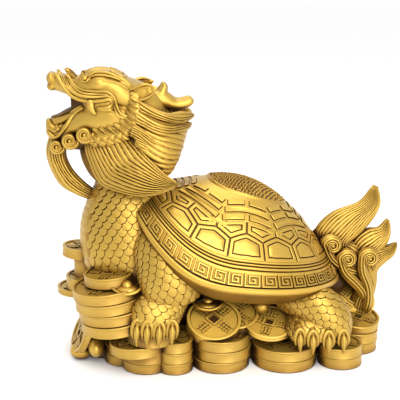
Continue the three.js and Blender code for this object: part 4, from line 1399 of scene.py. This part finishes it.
def coin_strokes(radius):
    """A square frame round the hole, the hole, and four groups of shallow strokes that aren't letters."""
    random = np.random.default_rng(int(radius * 10))
    side, row, column = np.indices((4, 4, 3)).reshape(3, -1)
    angle = side * math.pi / 2
    along, out = (column - 1) * 0.135 * radius, (0.37 + 0.115 * row) * radius
    c, s = np.cos(angle), np.sin(angle)
    centres = np.stack([along * c - out * s, along * s + out * c], -1)
    turns = angle + (row + column) % 2 * math.pi / 2 + random.uniform(-0.25, 0.25, side.size)
    lengths = random.uniform(0.06, 0.085, side.size) * radius
    quarter = circle(4)
    edges = 0.21 * radius * np.stack([-np.sin(quarter), np.cos(quarter)], -1)
    strokes = bars_on_face(centres, turns, lengths, 0.7, -1.2, 0.0)
    frame_bars = bars_on_face(edges, quarter, np.full(4, 0.25 * radius), 0.7, -1.2, 0.0)
    hole = bars_on_face(np.zeros((1, 2)), np.zeros(1), np.array([0.17 * radius]), 0.17 * radius, -1.3, -1.0)
    return [outline_mesh(strokes, STROKE_SHADES), outline_mesh(frame_bars, STROKE_SHADES),
            outline_mesh(hole, np.ones(2))]


def coin(radius, thick, struck):
    """Skins of a coin with its top face at the height of the origin."""
    turn = circle(COIN_SIDES)
    inset_by, height, patina_and_painted_light = np.array(coin_rows(radius, thick)).T[..., None]
    reach = radius - inset_by
    rings = np.stack([reach * np.cos(turn), reach * np.sin(turn), height + 0 * turn], -1)
    return [skin(Form(rings), 0, patina_and_painted_light), *(coin_strokes(radius) if struck else [])]


def pile(top, radius, count=1, thick=COIN_THICKNESS, lean=(0, 0), shift=(0, 0)):
    """Coins below one another, from the first one down. Only coins whose face shows are struck."""
    random = np.random.default_rng(int(radius * 10 + count))
    tilt = Euler((math.radians(lean[0]), math.radians(lean[1]), 0)).to_matrix()
    parts = []
    for index in range(count):
        jog = random.uniform(-0.6, 0.6, 2) * min(index, 1)
        step = tilt @ Vector((shift[0] * index + jog[0], shift[1] * index + jog[1], -thick * index))
        turn = np.array(tilt @ Matrix.Rotation(random.uniform(0.2, 1.3), 3, "Z"))
        for points, faces, shade in coin(radius, thick, index == 0 or any(shift)):
            parts.append((points @ turn.T + np.array(top) + np.array(step), faces, shade))
    return parts


class TURTLE_OT_coins(Operator):
    """Make the heap of coins"""
    bl_idname = "turtle.coins"
    bl_label = "Coins"

    def execute(self, context):
        for index, one in enumerate(LEANING):
            finish = "brightened_in_shade" if one.get("lean", (0, 0))[0] > BRIGHTENED_IN_SHADE_LEAN else "struck"
            make_piece(f"leaning_coins_{index + 1}", pile(**one), finish, sharp=35)
        for index, (x, y, radius, count, thick) in enumerate(STANDING):
            parts = pile((x, y, thick * count), radius, count, thick)
            make_piece(f"coin_stack_{index + 1}", parts, "struck", sharp=35)
        # Painted shade: the core that fills the gaps between the stacks is painted fully dark.
        core = limb([(-58, 6, 29), (-20, 6, 32), (20, 4, 30), (60, 2, 26)],
                    [22, 26, 26, 20], [13, 15, 14, 10])
        make_piece("heap_core", [skin(core, 0, 1.0)], "cast", sharp=80)
        return {"FINISHED"}


INGOTS = ((-17.1, -33, 45.5), (-76, -44, 63.5))
# The pearl and two small rounds, each with its middle and its three radii.
ROUNDS = (((23.4, -31, 41.6), (5.5, 5.5, 5.5)), ((-99.5, -25, 13.5), (6, 12, 8)),
          ((-110.5, -17, 6.6), (8.5, 8, 6.5)))


class TURTLE_OT_treasure(Operator):
    """Make the boat-shaped ingots and the pearl that lie on the coins"""
    bl_idname = "turtle.treasure"
    bl_label = "Ingots and pearl"

    def execute(self, context):
        angle = circle(48)
        for index, (x, y, z) in enumerate(INGOTS):
            rim = np.stack([x + 11 * np.cos(angle), y + 7.4 * np.sin(angle), z + 1.8 * np.cos(2 * angle)], -1)
            # The ingot's body is painted a little darker and its raised top a little lighter.
            parts = [ribbon(np.vstack([rim, rim[:2]]), 1.0, side=(0, 0, 1), along=120, blunt=0.0),
                     skin(ball((x, y, z - 1), (10.4, 7, 4)), 0, 0.25),
                     skin(ball((x, y, z + 2.2), (4, 4, 3.8)), 0, -0.15)]
            make_piece(f"ingot_{index + 1}", parts, "rubbed", sharp=70)
        make_piece("pearl", [skin(ball(*one, 1, 40, 26)) for one in ROUNDS], "rubbed", sharp=80)
        return {"FINISHED"}


# Stage, lights and camera

CAMERA_PLACE = (-84.6, -618.9, 265.4)
CAMERA_AIM = (-19.5, 0, 116)
LENS = 76.8
# Each light has its place in metres, its size in metres and its share of the key light's power.
LIGHTS = {
    "key": ((0.1, -0.95, 1.05), 0.9, 1.0),
    "fill": ((0.3, -1.15, 0.22), 0.8, 0.6),
    "top": ((0.05, 0.25, 1.25), 0.9, 0.45),
}
LIGHTS_AIM = Vector((0, 0, 0.1))


def aim(thing, place):
    """Turns a light or the camera to look at a place."""
    thing.rotation_euler = (place - thing.location).to_track_quat("-Z", "Y").to_euler()


class TURTLE_OT_stage(Operator):
    """Make the pale floor, the soft lights and the camera"""
    bl_idname = "turtle.stage"
    bl_label = "Stage"

    def execute(self, context):
        stage = context.scene.turtle_stage
        bpy.ops.mesh.primitive_plane_add(size=40, location=(0, 0, CAD_LOW.z))
        floor = context.object
        floor.name = "floor"
        paper = bpy.data.materials.new("pale paper")
        paper.use_nodes = True
        shader = paper.node_tree.nodes["Principled BSDF"].inputs
        shader["Base Color"].default_value = (*stage.floor, 1)
        shader["Roughness"].default_value = 0.9
        floor.data.materials.append(paper)
        for name, (place, size, share) in LIGHTS.items():
            lamp = bpy.data.objects.new(name, bpy.data.lights.new(name, "AREA"))
            context.scene.collection.objects.link(lamp)
            lamp.data.size = size
            lamp.data.energy = stage.key * share
            lamp.location = place
            aim(lamp, LIGHTS_AIM)
        world = bpy.data.worlds.new("studio")
        context.scene.world = world
        world.use_nodes = True
        background = world.node_tree.nodes["Background"].inputs
        background["Color"].default_value = (1, 1, 1, 1)
        background["Strength"].default_value = stage.sky
        context.scene.view_settings.view_transform = "Standard"
        camera = bpy.data.objects.new("camera", bpy.data.cameras.new("camera"))
        context.scene.collection.objects.link(camera)
        camera.location = Vector(CAMERA_PLACE) * METRES * SHARE
        aim(camera, Vector(CAMERA_AIM) * METRES * SHARE)
        camera.data.lens = LENS
        camera.data.sensor_width = 36
        context.scene.camera = camera
        return {"FINISHED"}


# Add-on

STEPS = (
    TURTLE_OT_stage, TURTLE_OT_shell, TURTLE_OT_neck, TURTLE_OT_head, TURTLE_OT_mane, TURTLE_OT_legs,
    TURTLE_OT_tail, TURTLE_OT_coins, TURTLE_OT_treasure,
)


class TURTLE_PT_panel(Panel):
    """Sizes, colours and making steps of the figure"""
    bl_label = "Dragon turtle figure"
    bl_idname = "TURTLE_PT_panel"
    bl_space_type = "VIEW_3D"
    bl_region_type = "UI"
    bl_category = "Turtle"

    def draw(self, context):
        for group in (context.scene.turtle_carving, context.scene.turtle_finish, context.scene.turtle_stage):
            for name in group.__annotations__:
                self.layout.prop(group, name)
        for step in STEPS:
            self.layout.operator(step.bl_idname)


CLASSES = (CarvingSizes, FinishColours, StageSizes, *STEPS, TURTLE_PT_panel)


def register():
    for each in CLASSES:
        bpy.utils.register_class(each)
    bpy.types.Scene.turtle_carving = PointerProperty(type=CarvingSizes)
    bpy.types.Scene.turtle_finish = PointerProperty(type=FinishColours)
    bpy.types.Scene.turtle_stage = PointerProperty(type=StageSizes)


def unregister():
    del bpy.types.Scene.turtle_stage
    del bpy.types.Scene.turtle_finish
    del bpy.types.Scene.turtle_carving
    for each in reversed(CLASSES):
        bpy.utils.unregister_class(each)


def main():
    register()
    for step in STEPS:
        area, name = step.bl_idname.split(".")
        getattr(getattr(bpy.ops, area), name)()


if __name__ == "__main__":
    main()
